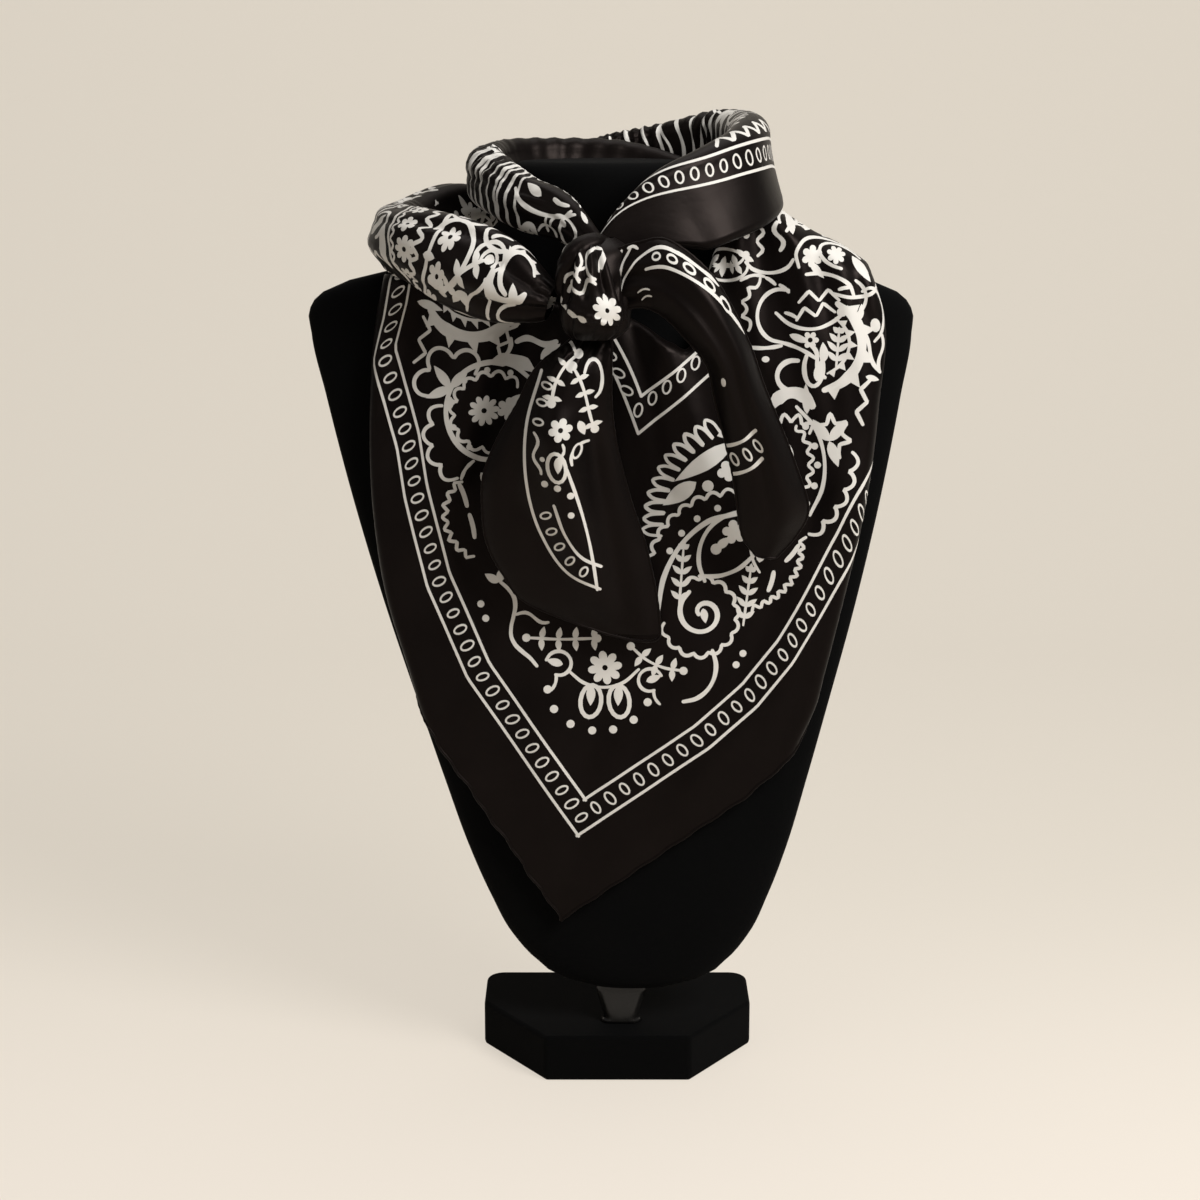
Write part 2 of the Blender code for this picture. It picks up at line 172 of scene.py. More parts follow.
def makeSilkWeave():
    # twill threads read from the flat cloth, with soft puckers, and mottled patches of a lighter colour:
    # partly the cloth's random tone, partly a painted sheen
    tree, given, last = newGroup("silkWeave", {
        "Colour": (0.01, 0.01, 0.01, 1),
        "Mottled Sheen Colour": (0.02, 0.02, 0.02, 1),
        "Threads": 900.0,
        "Roughness": 0.45,
    }, ("Colour", "Roughness", "Height"))
    uv = tree.nodes.new("ShaderNodeUVMap")
    uv.uv_map = "flatCloth"
    cloth = uv.outputs["UV"]
    twill = addNode(tree, "ShaderNodeTexWave", {
        "Vector": cloth, "Scale": given["Threads"], "Distortion": 0.4, "Detail": 1.0})
    twill.wave_type = "BANDS"
    twill.bands_direction = "DIAGONAL"
    puckers = addNoise(tree, cloth, {"Scale": 85.0, "Detail": 3.0, "Roughness": 0.45})
    # the mask of the painted sheen: where it is high, the lighter mottled colour shows
    shade = addNoise(tree, cloth, {"Scale": 22.0, "Detail": 2.0})
    threads = mathNode(tree, "MULTIPLY", twill.outputs["Fac"], 0.06)
    plug(tree, last, {
        "Colour": mixedColours(tree, shade, given["Colour"], given["Mottled Sheen Colour"]),
        "Roughness": mathNode(tree, "MULTIPLY_ADD", shade, 0.12, given["Roughness"]),
        "Height": mathNode(tree, "ADD", threads, puckers),
    })
    return tree


def makeVelvetNap():
    # brushed pile: patches that lean different ways, over short dense fibres
    tree, given, last = newGroup("velvetNap", {
        "Colour": (0.003, 0.003, 0.003, 1),
        "Brushed Colour": (0.006, 0.006, 0.006, 1),
        "Fibres": 1800.0,
        "Patches": 18.0,
    }, ("Colour", "Height"))
    place = tree.nodes.new("ShaderNodeTexCoord").outputs["Object"]
    patches = addNoise(tree, place, {"Scale": given["Patches"], "Detail": 3.0, "Distortion": 1.2})
    plug(tree, last, {
        "Colour": mixedColours(tree, patches, given["Colour"], given["Brushed Colour"]),
        "Height": addNoise(tree, place, {"Scale": given["Fibres"], "Detail": 2.0}),
    })
    return tree


def clothFinish(name, group, look):
    material, tree = newMaterial(name)
    cloth = tree.nodes.new("ShaderNodeGroup")
    cloth.node_tree = group
    plug(tree, cloth, look["group"])
    read = {"Base Color": cloth.outputs["Colour"]}
    if "Roughness" in cloth.outputs:
        read["Roughness"] = cloth.outputs["Roughness"]
    finishShader(tree, cloth.outputs["Height"], look["bump"], look["depth"], {**look["shader"], **read})
    return material


silkWeave = makeSilkWeave()
velvetNap = makeVelvetNap()
# the silk's lighter mottled colour is a painted brownish sheen over its random tone
blackSilk = clothFinish("blackSilk", silkWeave, {
    "group": {"Colour": (0.0008, 0.0006, 0.0006, 1), "Mottled Sheen Colour": (0.0040, 0.0029, 0.0026, 1),
              "Roughness": 0.34},
    "bump": 0.4, "depth": 0.6,
    "shader": {"Specular IOR Level": 0.085, "Specular Tint": (1.0, 0.80, 0.72, 1), "Sheen Weight": 0.008,
               "Sheen Roughness": 0.4, "Sheen Tint": (0.75, 0.58, 0.50, 1)},
})
whiteInk = clothFinish("whiteInk", silkWeave, {
    "group": {"Colour": (0.44, 0.42, 0.385, 1), "Mottled Sheen Colour": (0.55, 0.525, 0.485, 1), "Roughness": 0.46},
    "bump": 0.35, "depth": 0.5,
    "shader": {"Specular IOR Level": 0.35},
})
blackVelvet = clothFinish("blackVelvet", velvetNap, {
    "group": {"Colour": (0.0008, 0.0008, 0.0008, 1), "Brushed Colour": (0.0014, 0.0014, 0.0014, 1)},
    "bump": 0.3, "depth": 0.15,
    "shader": {"Roughness": 0.95, "Specular IOR Level": 0.05, "Sheen Weight": 0.004,
               "Sheen Roughness": 0.6},
})


def makeLacquer():
    material, tree = newMaterial("blackLacquer")
    place = tree.nodes.new("ShaderNodeTexCoord").outputs["Object"]
    noise = addNoise(tree, place, {"Scale": 55.0, "Detail": 2.0})
    tone = addNode(tree, "ShaderNodeValToRGB", {"Fac": noise})
    tone.color_ramp.elements[0].color = (0.003, 0.003, 0.003, 1)
    tone.color_ramp.elements[1].color = (0.010, 0.009, 0.008, 1)
    rough = addNode(tree, "ShaderNodeMapRange", {"Value": noise, "To Min": 0.16, "To Max": 0.32})
    finishShader(tree, noise, 0.5, 1.2, {
        "Base Color": tone.outputs["Color"],
        "Roughness": rough.outputs["Result"],
        "Specular IOR Level": 0.28,
    })
    return material


blackLacquer = makeLacquer()
print("finishes made")


# objects and meshes

def newObject(name, data):
    thing = bpy.data.objects.new(name, data)
    bpy.context.scene.collection.objects.link(thing)
    return thing


def finishedMesh(name, mesh, material, turnOut=True):
    # the data of a mesh once it's built: smooth, and its faces turned outward
    if turnOut:
        bmesh.ops.recalc_face_normals(mesh, faces=mesh.faces)
    data = bpy.data.meshes.new(name)
    mesh.to_mesh(data)
    mesh.free()
    data.shade_smooth()
    data.materials.append(material)
    return data


def gridMesh(name, points, material):
    # a closed skin over rings of points, with one face over each end
    count = points.shape[1]
    mesh = bmesh.new()
    grid = [[mesh.verts.new(point * mm) for point in row] for row in points]
    for low, high in zip(grid, grid[1:]):
        for j in range(count):
            k = (j + 1) % count
            mesh.faces.new((low[j], low[k], high[k], high[j]))
    mesh.faces.new(grid[0])
    mesh.faces.new(grid[-1])
    return finishedMesh(name, mesh, material)


def addPiece(name, data, slotName, *nodes):
    piece = newObject(name, data)
    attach(piece, "root")
    if nodes:
        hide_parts(*nodes)
    return piece


def addCord(name, line, sizes, radius, material, slotName):
    # a round cord along a line, with its own size at each point
    curve = bpy.data.curves.new(name, "CURVE")
    curve.dimensions = "3D"
    curve.bevel_depth = radius * mm
    curve.bevel_resolution = 2
    curve.use_fill_caps = True
    strip = curve.splines.new("POLY")
    strip.points.add(len(line) - 1)
    for spot, point, size in zip(strip.points, line, sizes):
        spot.co = (*(point * mm), 1)
        spot.radius = size
    curve.materials.append(material)
    return addPiece(name, curve, slotName)


# camera, lamps and backdrop

view = {"place": (-0.0096, -1.25, 0.540), "down": 12.832, "lens": 71.89, "sensor": 36.0}
camera = bpy.data.cameras.new("camera")
camera.lens = view["lens"]
camera.sensor_width = view["sensor"]
cameraObject = newObject("camera", camera)
cameraObject.location = view["place"]
cameraObject.rotation_euler = (math.radians(90 - view["down"]), 0, 0)
bpy.context.scene.camera = cameraObject

studio = {
    "lamps": {
        "keyLamp": {"place": (0.72, -0.74, 1.02), "size": 0.6, "power": 20},
        "fillLamp": {"place": (-1.15, -1.0, 1.0), "size": 1.2, "power": 2.5},
        "topLamp": {"place": (0.1, 0.15, 1.7), "size": 1.1, "power": 9},
    },
    "aim": (0, 0, 0.3),
    "world": (0.93, 0.90, 0.86),
    "worldLevel": 0.25,
    # painted light: the sweep is one sheet, and its floor is painted lighter than its wall, as the lamps
    # light it more
    "floorLitColour": (0.840, 0.765, 0.672, 1),
    "wallDimColour": (0.757, 0.694, 0.600, 1),
    "wallFrom": 0.9,
    "bend": 0.5,
    "wallTop": 3.0,
    "width": 4.0,
    "shadowShare": 0.22,
    "floorFrom": -2.4,
    "gradeFrom": -0.25,     # painted light: the floor's lit tone turns into the wall's dimmer one from here, away from the camera
    "gradeTo": 0.35,
}


def makeLamp(name, setup):
    lamp = bpy.data.lights.new(name, "AREA")
    lamp.shape = "DISK"
    lamp.size = setup["size"]
    lamp.energy = setup["power"]
    holder = newObject(name, lamp)
    holder.location = setup["place"]
    aim = np.array(studio["aim"]) - np.array(setup["place"])
    holder.rotation_euler = (math.acos(-aim[2] / np.linalg.norm(aim)), 0, math.atan2(-aim[0], aim[1]))


def makeBackdropFinish():
    # the eye and glossy surfaces see a glowing pale tone, graded from the floor's painted light to the
    # wall's dimmer tone, and a share of the floor still takes shadow
    material, tree = newMaterial("paleBackdrop")
    tree.nodes.clear()
    place = tree.nodes.new("ShaderNodeTexCoord").outputs["Object"]
    split = addNode(tree, "ShaderNodeSeparateXYZ", {0: place})
    grade = addNode(tree, "ShaderNodeMapRange", {
        "Value": split.outputs["Y"], "From Min": studio["gradeFrom"], "From Max": studio["gradeTo"]})
    grade.interpolation_type = "SMOOTHSTEP"
    tone = mixedColours(tree, grade.outputs["Result"], studio["floorLitColour"], studio["wallDimColour"])
    ray = tree.nodes.new("ShaderNodeLightPath").outputs
    seen = mathNode(tree, "MAXIMUM", ray["Is Camera Ray"], ray["Is Glossy Ray"])
    mix = addNode(tree, "ShaderNodeMixShader", {
        "Fac": mathNode(tree, "MULTIPLY", seen, 1 - studio["shadowShare"]),
        1: addNode(tree, "ShaderNodeBsdfDiffuse", {"Color": tone}).outputs["BSDF"],
        2: addNode(tree, "ShaderNodeEmission", {"Color": tone}).outputs["Emission"],
    })
    addNode(tree, "ShaderNodeOutputMaterial", {"Surface": mix.outputs["Shader"]})
    return material


def makeBackdrop():
    half, start, bend = studio["width"] / 2, studio["wallFrom"], studio["bend"]
    profile = [(studio["floorFrom"], 0), (start, 0)]
    for angle in np.radians(np.linspace(0, 90, 17))[1:]:
        profile.append((start + bend * math.sin(angle), bend * (1 - math.cos(angle))))
    profile.append((start + bend, studio["wallTop"]))
    mesh = bmesh.new()
    rows = [[mesh.verts.new((x, y, z)) for x in (-half, half)] for y, z in profile]
    for near, far in zip(rows, rows[1:]):
        mesh.faces.new((near[0], near[1], far[1], far[0]))
    backdrop = newObject("backdrop", finishedMesh("backdrop", mesh, makeBackdropFinish(), turnOut=False))


for lampName, lampSetup in studio["lamps"].items():
    makeLamp(lampName, lampSetup)
makeBackdrop()
world = bpy.data.worlds.new("studioAir")
world.use_nodes = True
world.node_tree.nodes["Background"].inputs["Color"].default_value = (*studio["world"], 1)
world.node_tree.nodes["Background"].inputs["Strength"].default_value = studio["worldLevel"]
bpy.context.scene.world = world
bpy.context.scene.view_settings.view_transform = "Standard"
print("camera, lamps and backdrop made")


# printed sheets

def turnsRound(points, outline):
    # how many times an outline winds round each point
    low, high = outline.min(axis=0), outline.max(axis=0)
    near = np.where(((points >= low) & (points <= high)).all(axis=1))[0]
    found = np.zeros(len(points), int)
    if not len(near):
        return found
    x, y = points[near, 0, None], points[near, 1, None]
    a, b = outline, np.roll(outline, -1, axis=0)
    side = (b[:, 0] - a[:, 0]) * (y - a[:, 1]) - (x - a[:, 0]) * (b[:, 1] - a[:, 1])
    rise = (a[:, 1] <= y) & (b[:, 1] > y) & (side > 0)
    fall = (a[:, 1] > y) & (b[:, 1] <= y) & (side < 0)
    found[near] = rise.sum(axis=1) - fall.sum(axis=1)
    return found


def densified(outline, step):
    points = []
    for a, b in zip(outline, np.roll(outline, -1, axis=0)):
        count = max(1, int(math.ceil(np.linalg.norm(b - a) / step)))
        points += [a + (b - a) * k / count for k in range(count)]
    return np.array(points)


def cutCloth(outline, ink, step, fine):
    # the flat cloth cut into triangles along every edge of the print, and which of them are inked
    rim = densified(np.array(outline, float), step)
    low, high = rim.min(axis=0), rim.max(axis=0)
    shapes = [(shape, inked) for shape, inked in ink
              if (shape.max(axis=0) > low).all() and (shape.min(axis=0) < high).all()]
    points, edges = [], []
    for shape in [rim] + [shape for shape, _ in shapes]:
        start = len(points)
        points += list(shape)
        edges += [(start + k, start + (k + 1) % len(shape)) for k in range(len(shape))]
    tree = KDTree(len(points))
    for k, point in enumerate(points):
        tree.insert((*point, 0), k)
    tree.balance()
    us = np.arange(low[0] + step / 2, high[0], step)
    vs = np.arange(low[1] + step / 2, high[1], step * 0.87)     # rows of even triangles
    grid = np.array([(u + (row % 2) * step / 2, v) for row, v in enumerate(vs) for u in us])
    if fine is not None:
        grid = np.concatenate([grid, fine])
    grid = grid[turnsRound(grid, rim) != 0]
    points += [point for point in grid if tree.find((*point, 0))[2] > 0.3 * step]
    flat, _, faces, _, _, _ = delaunay_2d_cdt([tuple(point) for point in points], edges, [], 0, 1e-4, False)
    flat = np.array([tuple(point) for point in flat])
    faces = np.array([tuple(face) for face in faces])
    middles = flat[faces].mean(axis=1)
    keep = turnsRound(middles, rim) != 0
    faces, middles = faces[keep], middles[keep]
    inked = np.zeros(len(faces), bool)
    for shape, isInk in shapes:
        inked[turnsRound(middles, shape) != 0] = isInk
    used, faces = np.unique(faces, return_inverse=True)
    return flat[used], faces.reshape(-1, 3), inked


clothThick = 0.35
slopeReach = 0.35       # how far to each side of a point its slope is read


def printedMesh(name, outline, ink, place, step, fine=None):
    # the cut cloth laid in its place: two faces a cloth's thickness apart, joined round the hem
    flat, faces, inked = cutCloth(outline, ink, step, fine)
    du = place(flat + (slopeReach, 0)) - place(flat - (slopeReach, 0))
    dv = place(flat + (0, slopeReach)) - place(flat - (0, slopeReach))
    normal = unit(np.cross(du, dv))
    there, away = place(flat), normal * clothThick / 2
    count = len(flat)
    directed = np.concatenate([faces[:, [0, 1]], faces[:, [1, 2]], faces[:, [2, 0]]])
    known = {tuple(edge) for edge in directed.tolist()}
    owner = np.tile(np.arange(len(faces)), 3)
    border = [(a, b, owner[k]) for k, (a, b) in enumerate(directed.tolist()) if (b, a) not in known]
    polygons = faces.tolist() + (faces[:, ::-1] + count).tolist()
    polygons += [(b, a, a + count, b + count) for a, b, _ in border]
    tints = np.concatenate([inked, inked, inked[[k for _, _, k in border]]]).astype(np.int32)
    data = bpy.data.meshes.new(name)
    data.from_pydata((np.concatenate([there + away, there - away]) * mm).tolist(), [], polygons)
    data.materials.append(blackSilk)
    data.materials.append(whiteInk)
    data.polygons.foreach_set("material_index", tints)
    layer = data.uv_layers.new(name="flatCloth")
    both = np.concatenate([flat, flat]) * mm
    corner = np.empty(len(data.loops), np.int32)
    data.loops.foreach_get("vertex_index", corner)
    layer.uv.foreach_set("vector", both[corner].astype(np.float32).ravel())
    data.shade_smooth()
    data.normals_split_custom_set_from_vertices(np.concatenate([normal, -normal]).tolist())
    print(f"  {name}: {len(polygons)} faces, {inked.mean():.0%} of them printed")
    return data


hemPucker = 0.12    # how much a hem swells between its stitches


def makeHem(name, line, radius, seed):
    # a hand-rolled hem, a thin cord of cloth that puckers at each stitch
    spread = np.random.default_rng(seed)
    line = smoothPath(line, 2.2)
    sizes = [1 + hemPucker * (math.cos(k * math.pi) + spread.uniform(-0.5, 0.5)) for k in range(len(line))]
    return addCord(name, line, sizes, radius, blackSilk, "printed_silk")


def makeSheet(name, node, cut, ink, place, step, hems=(), fine=None):
    # a printed sheet and its hems, from the outline that it was cut by; the outline's flat area is worked
    # out but not kept
    piece = addPiece(name, printedMesh(name, cut, ink, place, step, fine), "printed_silk", node)
    hemPieces = [makeHem(*hem) for hem in hems]
    x, y = cut[:, 0], cut[:, 1]
    area = abs(np.sum(x * np.roll(y, -1) - y * np.roll(x, -1))) / 2
    return piece


# drawing the print
# Each shape is an outline and whether it is inked; a later one lies over the earlier ones.

drawnIn = 0.5       # how much narrower the ink dries than the stroke was cut


def turnedBy(points, x, y, turn):
    c, s = math.cos(math.radians(turn)), math.sin(math.radians(turn))
    return pointsOf(x + points[:, 0] * c - points[:, 1] * s, y + points[:, 0] * s + points[:, 1] * c)


def bow(x, y, wide, tall, start, sweep, turn=0.0, grow=0.0):
    # points round part of an oval; grow opens it into a curl
    t = np.linspace(0, 1, max(4, int(abs(sweep) / 28) + 2))
    angle = np.radians(start + sweep * t)
    size = 1 + grow * t
    return turnedBy(pointsOf(wide * size * np.cos(angle), tall * size * np.sin(angle)), x, y, turn)


def wavy(x, y, length, turn, waves=0.5, tall=1.0):
    # points along a waving line that starts at (x, y)
    t = np.linspace(0, 1, max(4, int(abs(waves) * 8) + 2))
    return turnedBy(pointsOf(length * t, tall * np.sin(2 * math.pi * waves * t)), x, y, turn)


def disc(x, y, wide, tall=None, turn=0.0, count=12, inked=True):
    tall = wide if tall is None else tall
    angle = np.linspace(0, 2 * math.pi, count, endpoint=False)
    return [(turnedBy(pointsOf(np.cos(angle) * wide, np.sin(angle) * tall), x, y, turn), inked)]


def ring(x, y, wide, tall, line, turn=0.0):
    hole = disc(x, y, wide - line, tall - line, turn, 16, inked=False)
    return disc(x, y, wide, tall, turn, 16) + hole


def roundEnd(point, run, side, half):
    return [point + half * (run * math.cos(a) + side * math.sin(a)) for a in (math.pi / 4, 0, -math.pi / 4)]


def brush(points, width=2.2, start=0.7, end=0.7, closed=False, step=1.6, swell=0.12):
    # a stroke of a brush, a little uneven along its length, with round ends
    width = width - drawnIn
    line = smoothPath(points, step, closed)
    run = np.roll(line, -1, axis=0) - np.roll(line, 1, axis=0) if closed else np.gradient(line, axis=0)
    run = unit(run)
    side = pointsOf(-run[:, 1], run[:, 0])
    if closed:
        return [(line + side * width / 2, True), (line - side * width / 2, False)]
    t = np.linspace(0, 1, len(line))
    ends = np.minimum(start + 4 * t * (1 - start), end + 4 * (1 - t) * (1 - end)) + 0.12
    half = width / 2 * np.minimum(1 + swell * np.sin(3 * math.pi * t), ends)
    left, right = line + side * half[:, None], line - side * half[:, None]
    tip = roundEnd(line[-1], run[-1], side[-1], half[-1])
    tail = roundEnd(line[0], -run[0], -side[0], half[0])
    return [(np.concatenate([left, tip, right[::-1], tail]), True)]


def arc(width, *oval):
    return brush(bow(*oval), width)


def dash(width, *line):
    return brush(wavy(*line), width)


def beads(points, size, count):
    # dots evenly along a path
    line = smoothPath(points, 1.0)
    return sum((disc(*line[k], size) for k in np.linspace(0, len(line) - 1, count).astype(int)), [])


def bloom(x, y, size, petals=8, turn=0.0, hole=0.2):
    angle = np.linspace(0, 2 * math.pi, petals * 8, endpoint=False)
    reach = size * (0.60 + 0.40 * np.abs(np.cos(petals / 2 * angle)) ** 0.7)
    shape = turnedBy(pointsOf(reach * np.cos(angle), reach * np.sin(angle)), x, y, turn)
    return [(shape, True)] + (disc(x, y, size * hole, count=8, inked=False) if hole else [])


def leaf(x, y, length, width, turn):
    # a leaf from its stem at (x, y), pointed at its far end
    t = np.linspace(0, 1, 9)
    half = width / 2 * np.sin(math.pi * t**0.8) ** 0.9
    outline = np.concatenate([pointsOf(t * length, half), pointsOf(t * length, -half)[-2:0:-1]])
    return [(turnedBy(outline, x, y, turn), True)]


def leaves(x, y, length, width, *turns):
    return sum((leaf(x, y, length, width, turn) for turn in turns), [])


def sideways(points, step):
    # a smoothed path, its length so far, and the ways along it and to its left
    line = smoothPath(points, step)
    run = unit(np.gradient(line, axis=0))
    return line, farAlong(line), run, pointsOf(-run[:, 1], run[:, 0])


def indexAt(far, at):
    return min(int(np.searchsorted(far, at)), len(far) - 1)


def bearing(run, i):
    return math.degrees(math.atan2(run[i, 1], run[i, 0]))


def frill(points, pitch=6.0, tall=2.2, width=1.8, kind="arc"):
    # a line of small arcs, waves or teeth that stand to the left of a path
    line, far, _, side = sideways(points, 0.9)
    phase = far / far[-1] * max(1, round(far[-1] / pitch))
    if kind == "arc":
        lift = tall * np.abs(np.sin(math.pi * phase)) ** 0.8
    elif kind == "wave":
        lift = tall / 2 * np.sin(2 * math.pi * phase)
    else:
        lift = tall * (1 - np.abs(2 * (phase % 1) - 1))
    return brush(line + side * lift[:, None], width, step=0.95, swell=0.05)


def teeth(points, pitch=9.0, tall=8.0, width=5.5, lean=0.3):
    # a thick curved band with leaning points along its left side
    line, far, run, side = sideways(points, 1.4)
    shape = brush(points, width, start=0.4, end=0.4)
    count = max(1, int(far[-1] / pitch))
    for k in range(count):
        i = indexAt(far, (k + 0.5) * far[-1] / count)
        size = tall * (0.65 + 0.35 * math.sin(math.pi * (k + 0.5) / count))
        foot = run[i] * pitch * 0.42
        shape.append((np.array([line[i] - foot, line[i] + side[i] * size + run[i] * lean * size,
                                line[i] + foot]), True))
    return shape


def fingers(points, reach=10.0, pitch=5.4, width=2.3, lean=-0.1):
    # a crest of long rounded fingers along the left of a path
    line, far, run, side = sideways(points, 1.0)
    count = max(2, int(far[-1] / pitch))
    path = []
    for k in range(count * 2 + 1):
        i = indexAt(far, far[-1] * k / (count * 2))
        if k % 2:
            for part, out in ((-0.16, 0.8), (0, 1), (0.16, 0.8)):
                runStep = lean * reach * out + part * pitch * 2
                path.append(line[i] + side[i] * reach * out + run[i] * runStep)
        else:
            path.append(line[i] + run[i] * 0.1)
    return brush(path, width, step=0.9)


def fern(x, y, length, turn, pairs=5, width=9.0):
    # a stem with short leaves on both sides, smaller towards its tip
    c, s = math.cos(math.radians(turn)), math.sin(math.radians(turn))
    shape = brush([(x, y), (x + c * length, y + s * length)], 1.8, end=0.4)
    for k in range(pairs):
        t = (k + 0.6) / pairs
        size = width / 2 * math.sin(math.pi * min(1, 0.25 + 0.72 * t)) + 2.6
        shape += leaves(x + c * length * t, y + s * length * t, size, 2.8, turn - 49, turn + 49)
    return shape + leaf(x + c * length * 0.9, y + s * length * 0.9, length * 0.16, 2.6, turn)


def sprig(points, width=2.0, gap=9.0, size=6.5):
    # a stem with a pair of drop-shaped leaves at every gap, and a ball at each end
    line, far, run, _ = sideways(points, 1.0)
    shape = brush(points, width) + disc(*line[0], width * 1.1) + disc(*line[-1], width * 1.1)
    for at in np.arange(gap * 0.8, far[-1] - 1, gap):
        i = indexAt(far, at)
        turn = bearing(run, i)
        shape += leaves(*line[i], size, size / 2, turn + 80, turn - 84)
    return shape


def hookLeaf(x, y, size, turn=0.0, flip=False):
    # a hooked stem that ends in a leaf
    shape = brush(bow(0, 0, size, size, 170, -270, grow=-0.15), size * 0.34)
    shape += leaf(size * 0.3, 0, size * 1.3, size * 0.6, 172)
    shape += dash(size * 0.32, -size * 0.1, -size * 0.85, size * 1.2, -100)
    return moved(shape, x, y, turn, flip)


def curl(x, y, size, turns, start, width=2.4, hand=1):
    return brush(bow(x, y, size * 0.18, size * 0.18, start, hand * turns * 360, grow=4.5), width)


def paisley(x, y, size, turn=0.0, flip=False):
    # a bent drop with scallops round it and a flower in it
    t = np.linspace(0, 2 * math.pi, 24, endpoint=False)
    drop = pointsOf(0.66 * np.sin(t) * np.abs(np.sin(t / 2)) ** 1.2, np.cos(t))
    drop[:, 0] += 0.30 * np.maximum(0, drop[:, 1] + 0.1) ** 2
    shape = frill(drop[3:22] * size * 1.22, 5.2, -2.4, 1.8)
    shape += brush(drop * size, 1.3 + size * 0.09, closed=True)
    shape += bloom(0, -size * 0.42, size * 0.30, 6)
    shape += beads([(size * 0.05, size * 0.0), (size * 0.16, size * 0.5)], 1.3, 2)
    return moved(shape, x, y, turn, flip)


def moved(shapes, x=0.0, y=0.0, turn=0.0, flip=False):
    return [(turnedBy(shape * (-1, 1) if flip else shape, x, y, turn), inked) for shape, inked in shapes]


def mapped(shapes, rule):
    return [(rule(shape), inked) for shape, inked in shapes]


def scatter(u0, u1, v0, v1, seed, gap=21.0):
    # the ordinary run of the print, for the stretches that face away
    spread = np.random.default_rng(seed)
    shapes = []
    for row, v in enumerate(np.arange(v0 + gap / 2, v1, gap)):
        for u in np.arange(u0 + gap / 2 + (row % 2) * gap / 2, u1, gap):
            x, y = u + spread.uniform(-2, 2), v + spread.uniform(-2, 2)
            turn, pick = spread.uniform(0, 360), spread.integers(0, 5)
            if pick < 2:
                shapes += paisley(x, y, 8.2, turn, flip=pick == 1)
            elif pick == 2:
                shapes += bloom(x, y, 6.8, 8, turn)
                shapes += leaves(x, y, 11.5, 4, turn + 20, turn + 140, turn + 260)
            elif pick == 3:
                shapes += teeth(bow(x, y, 8, 7, turn, 190), 5.5, 4.5, 2.8) + disc(x, y, 2.2)
            else:
                shapes += sprig(bow(x, y - 6, 11, 10, 20, 140, turn), 1.9, 6.5, 5.5) + disc(x, y, 1.8)
            shapes += disc(x + gap / 2, y + spread.uniform(-3, 3), 1.7)
    return shapes


borderDesign = {
    "margin": 33.0,         # plain cloth between the hem and the outer line
    "inside": 47.0,         # inner line of the chain
    "line": 2.0,
    "pitch": 9.2,
    "ovalAcross": 4.1,
    "ovalAlong": 2.5,
    "ovalLine": 1.05,
}


def borderLine(first, last, v):
    path = [(first, v), ((first + last) / 2, v), (last, v)]
    return brush(path, borderDesign["line"], 1, 1, step=3.5, swell=0)


def chainOvals(first, last, middle, lean=7.0, seed=3, pitch=borderDesign["pitch"]):
    spread = np.random.default_rng(seed)
    shapes = []
    u = first
    while u < last:
        size = 1 + spread.uniform(-0.07, 0.07)
        shapes += ring(u, middle, borderDesign["ovalAlong"] * size, borderDesign["ovalAcross"] * size,
                       borderDesign["ovalLine"], lean + spread.uniform(-7, 7))
        u += pitch
    return shapes


def ovalsAlong(points, gap=9.7, across=3.9, long=2.4):
    # a chain of ovals that lie across a curved path
    line, far, run, _ = sideways(points, 1.0)
    shapes = []
    for at in np.arange(gap * 0.4, far[-1], gap):
        i = indexAt(far, at)
        shapes += ring(*line[i], long, across, borderDesign["ovalLine"], bearing(run, i) + 6)
    return shapes


print("print tools ready")


# the stand

stand = {
    "baseWidth": 148.0, "baseDepth": 95.0, "baseHeight": 25.4,
    "frontWidth": 78.0,         # front edge between the two cut corners
    "cutDepth": 50.0,
    "corner": 10.0,
    "edge": 2.2,
    "postX": 2.0, "postY": -22.0,
    "postWidths": (17.0, 27.0),
    "postThick": 12.0,
    "flutes": 6,                # shallow flutes down the post's sides
    "fluteDepth": 0.02,
    "socket": 14.0,
    "clear": 0.35,
    "bustBottom": 47.0,
    "lean": math.tan(math.radians(4.5)),
    "footX": 8.0,
    "roll": -0.033,
    "torso": table(
        "z    half  front back square",
        (47,   24,   10,   7,   2.2),
        (51,   38,   13,   9,   2.3),
        (60,   51,   16,   11,  2.4),
        (75,   64,   18,   12,  2.6),
        (97,   75,   20,   13,  2.8),
        (125,  86,   21,   14,  3.0),
        (160,  97,   22,   14,  3.0),
        (200,  109,  22,   14,  3.0),
        (255,  125,  22,   14,  3.0),
        (310,  139,  22,   14,  3.0),
        (366,  151,  22,   14,  3.0),
        (398,  157,  22,   14,  3.0),
        (411,  157,  21,   14,  3.0),
        (419,  150,  20,   13,  2.9),
        (425,  136,  19,   13,  2.8),
        (430,  115,  19,   13,  2.6),
        (437,  89,   21,   16,  2.3),
        (446,  69,   26,   22,  2.1),
        (456,  56,   32,   30,  2.0),
        (468,  51,   36,   36,  2.0),
        (480,  49,   37,   37,  2.0),
        (484,  47.5, 35.5, 35.5, 2.0),
        (486,  44,   32,   32,  2.0),
    ),
    "neckTop": ((486.3, 0.9), (486.4, 0.7), (486.2, 0.35)),     # heights and shares of the neck's rim
    "seam": {"from": 58, "to": 470, "radius": 0.8, "out": 0.1},
}


def bustX(z):
    return stand["footX"] + (z - stand["bustBottom"]) * stand["roll"]


def bustY(z):
    return stand["postY"] + (z - stand["bustBottom"]) * stand["lean"]


